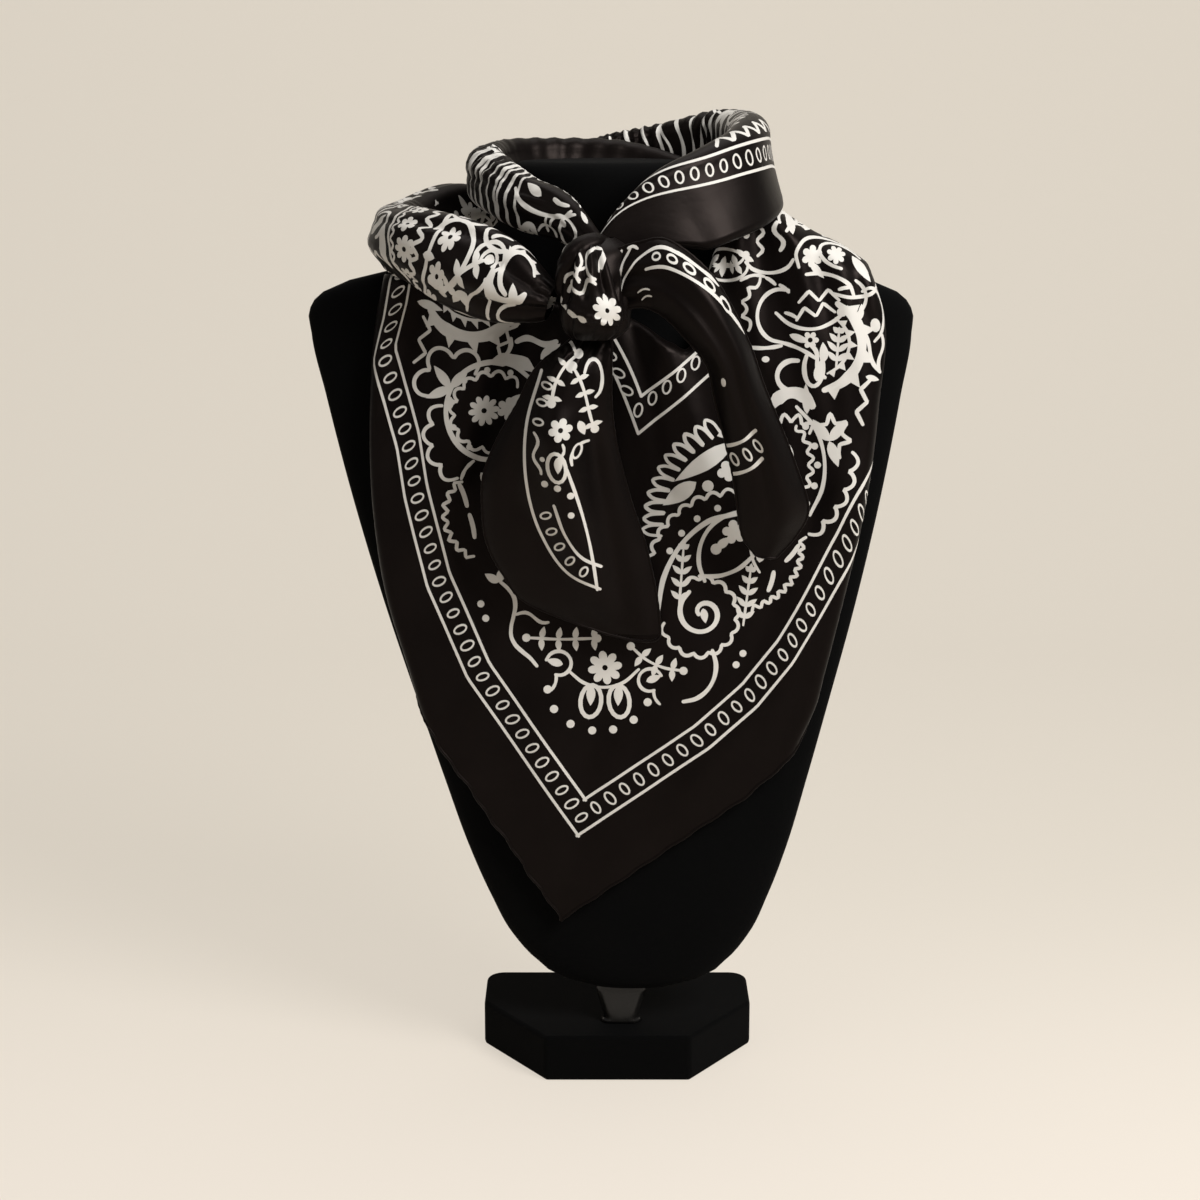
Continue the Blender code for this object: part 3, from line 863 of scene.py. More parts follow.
def makeBust():
    torso = stand["torso"]
    heights = []
    for low, high in zip(torso["z"], torso["z"][1:]):
        heights += list(np.linspace(low, high, max(2, int((high - low) / 3.5) + 1))[:-1])
    heights.append(torso["z"][-1])
    angle = np.linspace(0, 2 * math.pi, 180, endpoint=False)
    rings = []
    for z in heights:
        half, front, back, square = columns(torso, "z", "half front back square", z)
        x = squared(np.cos(angle), 2 / square) * half
        y = squared(np.sin(angle), 2 / square)
        y = np.where(y < 0, y * front, y * back)
        rings.append(pointsOf(bustX(z) + x, bustY(z) + y, np.full_like(x, z)))
    rim = rings[-1]
    for z, share in stand["neckTop"]:
        middle = np.array([bustX(z), bustY(z), z])
        rings.append(middle + (rim - middle) * (share, share, 0))
    middle = rings[0].mean(axis=0)
    rings.insert(0, middle + (rings[0] - middle) * 0.8 + (0, 0, -0.2))
    addPiece("velvetBust", gridMesh("velvetBust", np.array(rings), blackVelvet), "velvet", "display_bust")


def makeBustSeam():
    # the velvet's seam down the back, a shallow cord under the pile
    seam = stand["seam"]
    z = np.linspace(seam["from"], seam["to"], 60)
    back = column(stand["torso"], "z", "back", z)
    line = pointsOf(bustX(z), bustY(z) + back + seam["out"], z)
    addCord("bustSeam", line, np.ones(len(line)), seam["radius"], blackVelvet, "velvet")


def makeBase():
    front, side = stand["frontWidth"] / 2, stand["baseWidth"] / 2
    near, far = -stand["baseDepth"] / 2, stand["baseDepth"] / 2
    corner = stand["corner"]
    outline = [(-front, near), (front, near), (side, near + stand["cutDepth"])]
    for start, cx in ((0, side - corner), (90, corner - side)):
        for step in range(9):
            angle = math.radians(start + step * 11.25)
            outline.append((cx + corner * math.cos(angle), far - corner + corner * math.sin(angle)))
    outline.append((-side, near + stand["cutDepth"]))
    x, y = np.array(outline).T
    rings = np.array([pointsOf(x, y, np.full_like(x, z)) for z in (0, stand["baseHeight"])])
    base = addPiece("velvetBase", gridMesh("velvetBase", rings, blackVelvet), "velvet", "base")
    bevel = base.modifiers.new("Edge", "BEVEL")
    bevel.width = stand["edge"] * mm
    bevel.segments = 6
    bevel.limit_method = "ANGLE"
    bevel.angle_limit = math.radians(30)
    weighted = base.modifiers.new("Flats", "WEIGHTED_NORMAL")
    weighted.keep_sharp = True


def makePost():
    foot = stand["baseHeight"] + stand["clear"]
    top = stand["bustBottom"] + stand["socket"]
    narrow, wide = stand["postWidths"]
    angle = np.linspace(0, 2 * math.pi, 64, endpoint=False)
    flute = 1 + stand["fluteDepth"] * np.cos(stand["flutes"] * angle)
    rings = []
    for share in np.linspace(0, 1, 30):
        z = foot + (top - foot) * share
        half = narrow / 2 + (wide - narrow) / 2 * min(1, share / 0.5) + 2.5 * max(0, 1 - share / 0.06)
        x = squared(np.cos(angle), 0.6) * half * flute
        y = squared(np.sin(angle), 0.6) * stand["postThick"] / 2 * flute
        rings.append(pointsOf(stand["postX"] + x, bustY(z) + y, np.full_like(x, z)))
    addPiece("lacqueredPost", gridMesh("lacqueredPost", np.array(rings), blackLacquer), "lacquer", "post")


makeBust()
makeBustSeam()
makeBase()
makePost()
print("stand made")


# the front panel: the corner of the square that hangs over the chest

panel = {
    "tip": (-30.0, 91.0),
    "leftHem": table("length bearing", (136, 124), (52, 113), (185, 100)),
    "rightHem": table("length bearing", (117, 34.5), (33, 42), (30, 52), (60, 60), (220, 63)),
    # the same two hems as the print follows them, before the cloth is drawn in at the top
    "leftPrint": table("length bearing", (136, 124), (52, 113), (49, 103), (27, 98.5), (46, 105), (24, 75),
                       (60, 80)),
    "rightPrint": table("length bearing", (117, 34.5), (33, 42), (30, 52), (60, 60), (60, 65), (160, 71)),
    "sides": table(
        "z    left  right",
        (70,  -90,  90),
        (135, -80,  70),
        (160, -84,  84),
        (188, -98,  96),
        (205, -104, 103.5),
        (223, -109, 108),
        (265, -121, 118),
        (307, -127, 127),
        (363, -128, 134),
        (410, -124, 136),
        (430, -120, 130),
        (500, -118, 118),
    ),
    "turnRadius": 5.0,
    "turnedUnder": 34.0,
    "top": table(
        "x     edge  crest radius",
        (-160, 430,  428,  4),
        (-120, 432,  430,  4),
        (-90,  431,  429,  4),
        (-60,  426,  424,  4),
        (-30,  418,  416,  4),
        (0,    413,  411,  4),
        (14,   406,  404,  4),
        (27,   398,  396,  4),
        (38,   399,  397,  4),
        (46,   434,  432,  5),
        (54,   462,  456,  8),
        (64,   484,  468,  9),
        (76,   504,  467,  11),
        (88,   514,  459,  12),
        (101,  506,  451,  12),
        (114,  486,  445,  12),
        (126,  456,  437,  12),
        (136,  436,  430,  12),
        (170,  424,  424,  12),
    ),
    "shoulderReach": 30.0,
    "shoulderSlope": 0.12,
    "foldsFade": 6.0,       # the folds die away this far past a turned edge
    "flatBelow": 250.0,
    "standOff": table(
        "z    middle side",
        (70,  24.5,  20.6),
        (120, 26.0,  24.6),
        (180, 27.5,  28.6),
        (260, 29.5,  31.1),
        (340, 31.5,  32.1),
        (400, 32.0,  30.9),
        (430, 31.0,  30.7),
        (520, 31.0,  31.0),
    ),
    # each fold is a soft ridge, or a trough where its height is below nothing
    "folds": table(
        "x0    z0   x1    z1   width height",
        (-60,  418, -104, 300, 13,   4.5),
        (-30,  410, -62,  250, 15,   3.5),
        (92,   452, 112,  330, 13,   5.0),
        (64,   440, 88,   300, 11,   4.0),
        (118,  430, 120,  300, 9,    3.0),
        (20,   395, 30,   250, 16,   2.5),
        (-40,  200, -34,  110, 14,   2.0),
        (-108, 432, -121, 386, 5,    2.2),
        (-92,  420, -110, 350, 6,    -1.8),
        (-72,  408, -84,  330, 6,    1.6),
        (-46,  398, -58,  330, 5,    -1.5),
        (-92,  300, -74,  214, 7,    1.2),
        (-58,  215, -20,  150, 7,    1.0),
        (106,  456, 126,  372, 6,    2.4),
        (98,   452, 108,  380, 5,    -1.8),
        (78,   455, 96,   385, 5,    1.8),
        (70,   440, 80,   360, 5,    -1.6),
        (128,  420, 126,  330, 5,    1.8),
        (108,  300, 84,   214, 7,    1.6),
        (92,   290, 60,   206, 6,    -1.0),
        (0,    330, -4,   190, 9,    1.4),
        (40,   230, 4,    140, 8,    0.9),
        (8,    402, 24,   330, 5,    -2.6),
        (24,   396, 50,   322, 6,    2.4),
        (-14,  404, -20,  330, 5,    2.2),
        (-34,  414, -46,  352, 5,    -2.2),
        (-62,  412, -74,  352, 6,    2.2),
        (52,   440, 74,   372, 5,    -2.4),
        (86,   452, 104,  398, 5,    2.4),
        (116,  446, 130,  396, 4,    -2.2),
        (60,   452, 58,   404, 5,    2.2),
        (-100, 414, -116, 372, 5,    -1.8),
        (-12,  180, -26,  116, 9,    -1.0),
        (52,   180, 10,   130, 8,    0.9),
    ),
    "step": 2.8,
}


def hemWalk(rows, length):
    # the way from the tip along a hem laid flat on the front
    x, z = 0.0, 0.0
    left = np.asarray(length, float)
    for run, bearing in zip(rows["length"], np.radians(rows["bearing"])):
        stride = np.clip(left, 0, run)
        x = x + stride * np.cos(bearing)
        z = z + stride * np.sin(bearing)
        left = left - stride
    return np.stack([x, z], axis=-1)


def hemPoint(rows, length):
    return np.array(panel["tip"]) + hemWalk(rows, length)


panelEnds = [hemPoint(panel[key], panel[key]["length"].sum()) for key in ("leftHem", "rightHem")]


def drawnUp(points):
    # how the flat cloth is stretched or gathered to the panel's upper edge
    x, z = points[:, 0], points[:, 1]
    (x0, z0), (x1, z1) = panelEnds
    end = z0 + (z1 - z0) * (x - x0) / (x1 - x0)
    climb = np.clip((z - panel["flatBelow"]) / (end - panel["flatBelow"]), 0, 1)
    lift = (column(panel["top"], "x", "edge", x) - end) * climb**2 * (3 - 2 * climb)
    return pointsOf(x, z + lift)


def legPlace(own, other):
    # from lengths along one hem and away from it to the panel
    def place(points):
        return drawnUp(np.array(panel["tip"]) + hemWalk(panel[own], points[:, 0])
                       + hemWalk(panel[other], points[:, 1]))

    return place


def turned(distance, radius):
    half = math.pi * radius
    angle = np.clip(distance / radius, 0, math.pi)
    beyond = np.maximum(distance - half, 0)
    across = np.where(distance < 0, distance, radius * np.sin(angle) - beyond)
    back = np.where(distance < 0, 0, radius * (1 - np.cos(angle)))
    return across, back


def foldHeight(folds, x, z, fade=30.0):
    height = 0
    for x0, z0, x1, z1, width, tall in rowsOf(folds):
        run = np.array([x1 - x0, z1 - z0])
        length = np.hypot(*run)
        t = ((x - x0) * run[0] + (z - z0) * run[1]) / length**2
        off = ((x - x0) * run[1] - (z - z0) * run[0]) / length
        ends = np.clip(t, 0, 1)
        beyond = (t - ends) * length
        height = height + tall * np.exp(-(off / width) ** 2 - (beyond / fade) ** 2) * (1 - 0.5 * ends)
    return height


def panelPlace(points):
    x, z = points[:, 0], points[:, 1]
    left, right = columns(panel["sides"], "z", "left right", z)
    radius = panel["turnRadius"]
    middle = (left + right) / 2
    reachRight, backRight = turned(x - (right - radius), radius)
    reachLeft, backLeft = turned((left + radius) - x, radius)
    across = np.where(x > middle, right - radius + reachRight, left + radius - reachLeft)
    back = np.where(x > middle, backRight, backLeft)
    crest, bend = columns(panel["top"], "x", "crest radius", across)
    rise = z - (crest - bend)
    angle = np.clip(rise / bend, 0, math.pi / 2)
    run = np.maximum(rise - bend * math.pi / 2, 0)
    flat = np.minimum(run, panel["shoulderReach"])
    drop = (run - flat) / bend
    fall = np.minimum(drop, math.pi / 2)
    up = np.where(rise < 0, z, crest - bend + bend * np.sin(angle))
    up = up - panel["shoulderSlope"] * flat - bend * (1 - np.cos(fall))
    up = up - bend * np.maximum(drop - math.pi / 2, 0)
    over = np.where(rise < 0, 0, bend * (1 - np.cos(angle))) + flat + bend * np.sin(fall)
    share = np.clip(np.abs(across - middle) / (right - middle), 0, 1) ** 2
    offMiddle, offSide = columns(panel["standOff"], "z", "middle side", up)
    off = offMiddle * (1 - share) + offSide * share
    ease = np.clip(1 - (back + over) / panel["foldsFade"], 0, 1)
    depth = bustY(up) - off - foldHeight(panel["folds"], across, up) * ease + back + over
    return pointsOf(across, depth, up)


def panelOutline():
    # the hems where they show, and where the cloth turned under stops, then the upper edge
    leftSide, rightSide = [], []
    total = [panel[key]["length"].sum() for key in ("leftHem", "rightHem")]
    for step in np.linspace(0.004, 1, 150):
        lx, lz = hemPoint(panel["leftHem"], total[0] * step)
        rx, rz = hemPoint(panel["rightHem"], total[1] * step)
        # the hems waver a little between their stitches
        lx += 0.55 * math.sin(step * 140) + 0.4 * math.sin(step * 61)
        rx += 0.6 * math.sin(step * 150 + 1)
        slope = (rz - lz) / (rx - lx)
        left = right = (lx + rx) / 2
        for _ in range(4):
            left = column(panel["sides"], "z", "left", lz + slope * (left - lx))
            right = column(panel["sides"], "z", "right", lz + slope * (right - lx))
        x0 = max(lx, left - panel["turnedUnder"])
        x1 = min(rx, right + panel["turnedUnder"])
        leftSide.append((x0, lz + slope * (x0 - lx)))
        rightSide.append((x1, lz + slope * (x1 - lx)))
    top = [(x, lz + slope * (x - lx)) for x in np.linspace(x0, x1, 110)[1:-1]]
    tip = np.array(panel["tip"]) - (0.5, 0.8)
    rims = [drawnUp(np.array([tip] + side)) for side in (leftSide, rightSide)]
    return rims, drawnUp(np.array([tip] + leftSide + top + rightSide[::-1]))


def panelPrint():
    near, far = borderDesign["margin"], borderDesign["inside"]
    ink = scatter(-60, 60, 440, 560, 4) + scatter(60, 150, 455, 620, 5)
    for leg, first in ((legPlace("leftPrint", "rightPrint"), 0),
                       (legPlace("rightPrint", "leftPrint"), borderDesign["pitch"])):
        ink += mapped(borderLine(near - 0.7, 420, near) + borderLine(far - 0.7, 420, far), leg)
        ink += mapped(chainOvals((near + far) / 2 + first, 420, (near + far) / 2), leg)
    for part in (middleFrame, cornerBunch, leftSpray, rightSpray, curledPaisley, fingerCrest, leftPaisley,
                 leftCrescent, rightPaisley, rightCrescent, shoulderSprays, longOvals):
        ink += part()
    return ink


def middleFrame():
    # the corner of the chain that frames the cloth's plain middle
    ink = []
    for x, z, length, turn in ((10, 350, 46, 113), (10, 350, 72, 40.5),
                               (11.5, 369, 32, 115), (11.5, 369, 60, 39.5)):
        ink += brush(wavy(x, z, length, turn, 0.5, -0.8), borderDesign["line"], 1, 1, step=3, swell=0)
    for k in range(3):
        ink += ring(4 - 4.2 * k, 372 + 8.8 * k, 2.5, 3.9, 1.0, 62)
    for k in range(7):
        ink += ring(10 + 7.3 * k, 362 + 6 * k, 2.5, 3.9, 1.0, -12)
    return ink


def cornerBunch():
    # a flower over two looped drops, hooked leaves beside it, and berries fanned below
    ink = bloom(-7, 227.5, 9, 8, 10, 0.17) + arc(2.2, -8, 240, 23, 23, 218, 106)
    for side in (-1, 1):
        ink += ring(-7 + 7.4 * side, 209.5, 6.6, 9.8, 2.3, 7 * side)
        ink += leaf(-7 + 7.2 * side, 218, 11, 4.8, -92)
    ink += hookLeaf(-31, 229.5, 7, -8) + hookLeaf(16.5, 220.5, 6.6, 14, flip=True)
    ink += beads(bow(-10, 217, 27, 23.5, 182, 158), 2.2, 7)
    ink += sprig([(-48, 243.5), (-30, 242.5), (-11, 243)]) + sprig(bow(34, 262, 36, 36, 220, 50))
    return ink


def leftSpray():
    ink = dash(2.6, -61, 273, 48, -72, 1.2, 4) + dash(2.3, -53, 256, 17, -12, 0.9, 1.8)
    ink += leaves(-62, 273, 8.5, 4.4, 75, 150) + leaf(-49, 271, 7, 3.4, 110)
    ink += beads([(-71.5, 261.5), (-69, 254)], 1.9, 2)
    # a ragged leaf beside the chain, with its dashes
    ink += frill(bow(-62, 308, 26, 25, 240, -104), 5.4, 3.2, 2.3, "teeth")
    for x, z, turn in ((-82, 324, -72), (-77, 308, -78)):
        ink += brush(wavy(x, z, 12, turn, 0.5, 0.4), 2.9, swell=0)
    return ink + leaf(-71, 330, 10, 4, -60) + disc(-66, 313, 1.7)


def rightSpray():
    ink = arc(2.8, 34, 228, 17, 18.5, 28, -118) + beads([(65, 235), (61.5, 229)], 1.9, 2)
    ink += frill(bow(58, 293, 39, 38, 5, -78), 5.4, -3.2, 2.3, "teeth")
    for x, z, turn in ((93, 292, -128), (80.5, 278, -105)):
        ink += brush(wavy(x, z, 10, turn, 0.5, 0.4), 3, swell=0)
    return ink + leaf(73, 283, 10, 5, 80) + arc(2, 77, 296, 9, 20, 175, 70)


def curledPaisley():
    # the large paisley that ends in a curl
    ink = brush(bow(64, 256, 43.5, 53, 180, -90), 3.1, start=0.5)
    ink += frill(bow(62, 274, 46, 45, 172, -80), 7.6, 3.2, 2.3)
    ink += beads(bow(63, 262, 43, 51.5, 148, -42), 1.8, 4)
    ink += arc(2.7, 66, 285.5, 24.5, 24.5, 98, 112) + arc(2.7, 47, 304, 29, 28.5, 260, 62)
    ink += bloom(60, 299, 6.4, 5, 30, 0) + disc(50.5, 290, 2.9) + leaf(51, 290.5, 9, 4.6, 40)
    ink += fern(31.5, 260, 33, 86) + fern(65, 250, 31, 83)
    ink += curl(44, 256.5, 13.5, 1.2, 195, 3.1, -1) + leaf(44, 259, 8, 4, -80)
    return ink + frill(bow(42, 254.5, 18.5, 19, 190, 285), 7.6, -2.6, 2.4)


def fingerCrest():
    ink = fingers(bow(66, 297, 44, 56, 180, -72))
    ink += leaf(59, 345, 36, 9, 213) + leaf(40, 325, 21, 8.6, 215) + leaf(62, 352, 12, 6.5, 196)
    return ink + disc(46, 323, 3) + disc(53, 373, 2) + bloom(56, 330.5, 5.4, 4, 17, 0) + disc(64, 325, 2.2)


def leftPaisley():
    ink = brush(bow(-64, 361.5, 24.5, 25.5, 42, 235), 3.1, end=0.8)
    ink += brush(bow(-58, 362, 23, 26, 50, 60), 7, 0.1, 0.1)
    ink += dash(3.6, -52, 397, 20, 0, 1, 1.6) + leaf(-40, 388, 13, 6, 38)
    ink += frill(bow(-65, 361, 18.5, 18, 45, 232), 7.4, -3.4, 2.2)
    ink += beads(bow(-64.5, 361.3, 21.4, 21.8, 65, 205), 1.6, 7)
    ink += bloom(-69, 362, 8, 10, 6, 0.18) + bloom(-56.5, 362.5, 6, 6, 24, 0) + leaf(-57, 363, 10, 5, 45)
    ink += frill(bow(-70, 349, 26, 25, 240, -98), 10.5, 4.4, 2.4) + dash(2.3, -81, 327, 11, 55)
    # leaves that stand on its back, inside an outline of their own
    ink += frill(bow(-85, 376, 13, 12, 215, -190), 13, 7, 2.5) + leaves(-86, 373.5, 14, 5, 128, 47, 203)
    return ink + disc(-86.5, 366, 2, 3.2)


def leftCrescent():
    # the toothed crescent that comes out from under the roll
    ink = teeth(bow(-75, 417, 22, 17.5, -15, -150), 9.5, 8.5, 6.6, -0.3)
    ink += teeth(bow(-73, 421, 18, 13, -25, -130), 5, 4.4, 2.1, -0.5)
    ink += frill([(-100, 409), (-105, 386)], 11, 5, 2.2, "teeth")
    ink += frill([(-53, 411), (-66, 387)], 9, 4, 2.1, "teeth")
    return ink + leaf(-103, 417, 14, 4.5, -20) + arc(2.8, -63, 397, 8, 9, 10, -95)


def rightPaisley():
    ink = frill(bow(60, 344, 60, 60, -50, 47), 9.5, -3.8, 2.5) + arc(2.5, 78, 332, 28, 36, -42, 104)
    ink += frill(bow(77, 334, 22, 26, -42, 92), 6.4, -2.8, 2.2, "wave")
    ink += beads(bow(77.5, 333, 24.8, 31, -38, 80), 1.8, 5)
    ink += leaves(108, 346.5, 14, 5.4, 128, 52, -70) + frill(bow(109, 349, 10.5, 12, -65, 215), 11, 5, 2.5)
    ink += leaf(86, 346, 16, 5.5, -80) + frill(bow(88, 346, 11, 10, 150, -125), 6.5, 4.6, 2.3, "teeth")
    ink += brush(bow(89, 358, 11.5, 13, 160, -130), 7, 0.2, 0.5) + leaf(96.5, 360, 16, 4.2, 93)
    ink += arc(3.1, 90, 379.5, 9, 8, 285, -205) + arc(2.8, 99.5, 384, 4.8, 9.5, 140, 260)
    return ink + leaf(101, 377, 11, 4.6, 80) + disc(75, 388, 2, 1.6)


def rightCrescent():
    # the toothed crescent on the right, with the leaf that it holds
    ink = arc(2.4, 97, 424, 21.5, 20.5, 218, 115)
    ink += teeth(bow(100, 395.5, 24, 23.5, 62, -140), 10, 8.5, 5.8, 0.35)
    ink += teeth(bow(99, 396, 18.5, 16.5, 52, -118), 5.2, 4.4, 2.2, 0.2) + disc(113.5, 412, 2.6, 2.3)
    ink += fern(111, 384.5, 19, 86, 4, 10) + leaf(105, 387, 10, 4.6, 96) + leaf(87, 400.5, 11, 3.8, -20)
    ink += bloom(97.5, 398, 4.4, 6, 0, 0.3) + dash(2.7, 97, 396, 19, -64, 1, 1.6)
    return ink + frill([(125, 355), (129, 378)], 11, 4.5, 2.6, "teeth") + leaf(126, 379.5, 8, 3, -18)


def shoulderSprays():
    # hooks, dashes and ragged lines that fill the cloth below the shoulder
    ink = arc(2.5, 83, 410, 12.5, 13.5, 75, 195) + dash(2.5, 83, 396.5, 19, -24)
    ink += dash(2.5, 67, 394, 16, 3, 0.5, -0.7)
    ink += frill(bow(74, 414, 12, 15, 100, 130), 8, 3.2, 2.2) + dash(2.2, 62, 428, 12, 8, 0.5, 1.5)
    for k in range(2):
        ink += frill([(90.5 + k, 408 + 9 * k), (110 + 2 * k, 412 + 6 * k)], 10, 5.5, 2.2, "teeth")
    for x, z, turn in ((75, 429, -35), (82, 425.5, -38), (85, 411.5, -22), (112, 423.5, 10)):
        ink += brush(wavy(x, z, 5.5, turn, 0.5, 0.3), 2.4, swell=0)
    ink += arc(2.4, 76, 440, 12.5, 8.5, 200, 150) + arc(2.0, 54, 435.5, 11.5, 8, 200, -330)
    ink += leaf(47.5, 434.5, 12, 2.2, 8) + leaf(48.5, 431.5, 9, 2, 50) + leaf(53, 430, 9, 2, 80)
    ink += leaf(58, 431, 7, 1.8, 100)
    ink += dash(2.3, 72, 454, 14, -92, 1.6, 1.6) + dash(2.8, 80, 457, 14, -82, 1, -2)
    return ink + leaf(53, 451.5, 20, 4.8, 16) + leaf(88, 451, 15, 4.8, 97) + hookLeaf(80, 474, 8, 30)


def longOvals():
    # the pair of long ovals near the shoulder's edge, and the lines that run over it
    ink = arc(2.4, 112, 435, 23.5, 14, 215, -300, -22) + arc(2.3, 113, 440.5, 11.5, 6.5, 30, 250, -18)
    ink += bloom(98, 440, 5.6, 6, 24, 0) + leaf(97, 437, 11, 3.8, -48)
    ink += bloom(110.5, 441, 5, 7, 6, 0) + leaf(119, 441, 17, 5.4, -57)
    ink += arc(2.5, 100, 420, 19.5, 11.5, 105, -105) + arc(2.3, 115, 419, 11, 10, 60, -120)
    ink += arc(2.2, 128, 410, 8, 14, 120, -190) + disc(131, 405, 2.6, 3.6, 12) + leaf(123, 408, 8, 3.2, 85)
    ink += dash(2.6, 122, 404, 26, -62, 1, 1.5) + dash(2.4, 134, 381, 19, 88, 1, 1.2)
    # what lies over the shoulder
    ink += arc(2.6, 106, 447, 22, 15, 175, -150, -12)
    ink += frill(bow(108, 446, 29, 24, 165, -140, -10), 8, 3, 2.2)
    for k in range(4):
        ink += leaf(95 + 9 * k, 454 - 1.6 * k * k / 2, 9.5, 4.2, 75 - 26 * k)
    return ink + paisley(100, 484, 9, 20) + bloom(120, 476, 6.5, 8, 12)


def fineTurns():
    # closer points where the panel turns at its sides and over the shoulder
    points = []
    for z in np.arange(100, 470, 2.6):
        left, right = columns(panel["sides"], "z", "left right", z)
        for t in np.linspace(-0.1, 1.1, 9):
            turn = math.pi * panel["turnRadius"] * t
            points += [(left + panel["turnRadius"] - turn, z), (right - panel["turnRadius"] + turn, z)]
    return np.array(points)


panelRims, panelCut = panelOutline()
panelHems = [(f"{side}PanelHem", panelPlace(line), 0.8, seed)
             for seed, side, line in zip((1, 2), ("left", "right"), panelRims)]
printedPanel = makeSheet("printedPanel", "front_bib", panelCut, panelPrint(), panelPlace, panel["step"],
                         panelHems, fineTurns())
print("panel made")


# the rolled stretches round the neck

leftRoll = {
    "node": "left_roll",
    "rows": table(
        "x     y     z    tall  deep",
        (52,   50,   456, 2.5,  2),
        (40,   57,   454, 6.5,  5),
        (20,   64,   452, 9,    7),
        (-8,   68,   451, 10,   8),
        (-38,  65,   452, 11,   9),
        (-64,  54,   456, 13,   10),
        (-88,  36,   458, 16,   12),
        (-109, 8,    450, 17,   15),
        (-113, -20,  449, 17,   15),
        (-99,  -43,  446, 20,   16),
        (-77,  -55,  438, 23,   17),
        (-57,  -63,  430, 21,   16),
        (-42,  -68,  424, 14,   13),
        (-33,  -70,  421, 9,    9),
    ),
    "wide": 104.0,
    "wraps": 1.22,
    # creases along the roll, by share of its length and by angle up from its outer side
    "creases": table(
        "start end  angle0 angle1 width height",
        (0.00, 0.62, 40,   25,    16,   -0.10),
        (0.10, 0.70, -30,  -45,   18,   -0.08),
        (0.30, 0.66, 95,   80,    14,   -0.10),
        (0.60, 0.80, 10,   -24,   12,   -0.07),
        (0.66, 0.97, 60,   30,    14,   -0.09),
        (0.72, 1.00, -62,  -20,   16,   -0.12),
        (0.80, 1.00, -5,   5,     13,   0.06),
        (0.86, 1.02, 34,   8,     9,    -0.15),
        (0.84, 1.02, -30,  -12,   9,    -0.14),
        (0.64, 0.78, 36,   58,    8,    -0.08),
        (0.05, 0.90, 150,  170,   16,   -0.12),
    ),
    # pleats across it, where it bends
    "pleats": table(
        "at    spread turns angle arc height",
        (0.60, 0.05,  46,   170,  70, 0.05),
        (0.64, 0.05,  52,   -80,  45, 0.05),
        (0.98, 0.05,  40,   0,    90, 0.03),
    ),
}
neckBand = {
    "node": "neck_band",
    "rows": table(
        "x     y     z    tall  deep",
        (-11,  -62,  447, 6,    4),
        (-29,  -46,  461, 12,   8),
        (-46,  -35,  467, 14,   10),
        (-60,  -18,  474, 15,   12),
        (-68,  8,    479, 15,   12),
        (-60,  38,   482, 14,   10),
        (-34,  58,   483, 13,   8),
        (0,    61,   483, 12,   7),
        (28,   57,   478, 10,   6.5),
        (44,   48,   474, 7,    5),
        (53,   40,   471, 2.5,  2),
    ),
    "wide": 78.0,
    "wraps": 1.2,
    "creases": table(
        "start end  angle0 angle1 width height",
        (0.00, 0.30, 20,   50,    13,   -0.14),
        (0.05, 0.42, -35,  -10,   14,   -0.12),
        (0.00, 0.16, -8,   10,    9,    -0.12),
        (0.20, 0.36, 30,   8,     8,    -0.09),
        (0.30, 1.00, 5,    25,    15,   -0.10),
        (0.20, 0.60, 85,   70,    14,   -0.08),
        (0.50, 1.00, -50,  -40,   17,   -0.10),
        (0.10, 0.90, 140,  165,   17,   -0.10),
    ),
    "pleats": table(
        "at    spread turns angle arc height",
        (0.36, 0.10,  44,   60,   90, 0.06),
        (0.62, 0.12,  30,   120,  70, 0.04),
        (0.02, 0.05,  40,   0,    90, 0.04),
    ),
}


def evened(ways, reach):
    # directions along a path, each averaged with its neighbours
    weights = np.hanning(2 * reach + 3)[1:-1]
    padded = np.pad(ways, ((reach, reach), (0, 0)), mode="edge")
    return unit(pointsOf(*(np.convolve(axis, weights, "valid") for axis in padded.T)))


def wayAlong(rows, reach=0):
    # the middle line of a rolled stretch, its length so far, and the ways up and out from it
    t = np.linspace(0, 1, 241)
    path = pointsOf(*along(rows, "x y z", t))
    run = unit(np.gradient(path, axis=0))
    up = unit(np.array([0, 0, 1.0]) - run * run[:, 2:])
    out = np.cross(run, up)
    out = out * np.sign(np.sum(out * (path - (0, 5, 0))))
    return {"t": t, "path": path, "up": evened(up, reach), "out": evened(out, reach), "far": farAlong(path)}


def stationOn(way, t):
    return (pointsOf(*(np.interp(t, way["t"], axis) for axis in way[key].T))
            for key in ("path", "up", "out"))


def creased(swell, creases, degrees, at, fade):
    # creases that wander round a roll or knot while they run along it
    for start, end, angle0, angle1, width, height in rowsOf(creases):
        share = np.clip((at - start) / (end - start), 0, 1)
        beyond = (at - start - share * (end - start)) / fade
        off = (degrees - angle0 - (angle1 - angle0) * share + 180) % 360 - 180
        swell = swell + height * np.exp(-(off / width) ** 2 - beyond**2)
    return swell


def rollSwell(roll, t, angle):
    # how far the cloth stands from the middle line, as a share of the roll's own size
    degrees = np.degrees(angle)
    swell = 1 + 0.015 * np.sin(9 * t + 2 * angle) + 0.010 * np.sin(23 * t - 3 * angle)
    swell = creased(swell, roll["creases"], degrees, t, 0.05)
    for at, spread, turns, middle, span, height in rowsOf(roll["pleats"]):
        off = (degrees - middle + 180) % 360 - 180
        swell = swell + (height * np.sin(2 * math.pi * turns * t + angle)
                         * np.exp(-((t - at) / spread) ** 2 - (off / span) ** 2))
    under = np.clip((degrees - 120) / 60, 0, 1)
    return swell - 0.09 * under**2 * (3 - 2 * under)


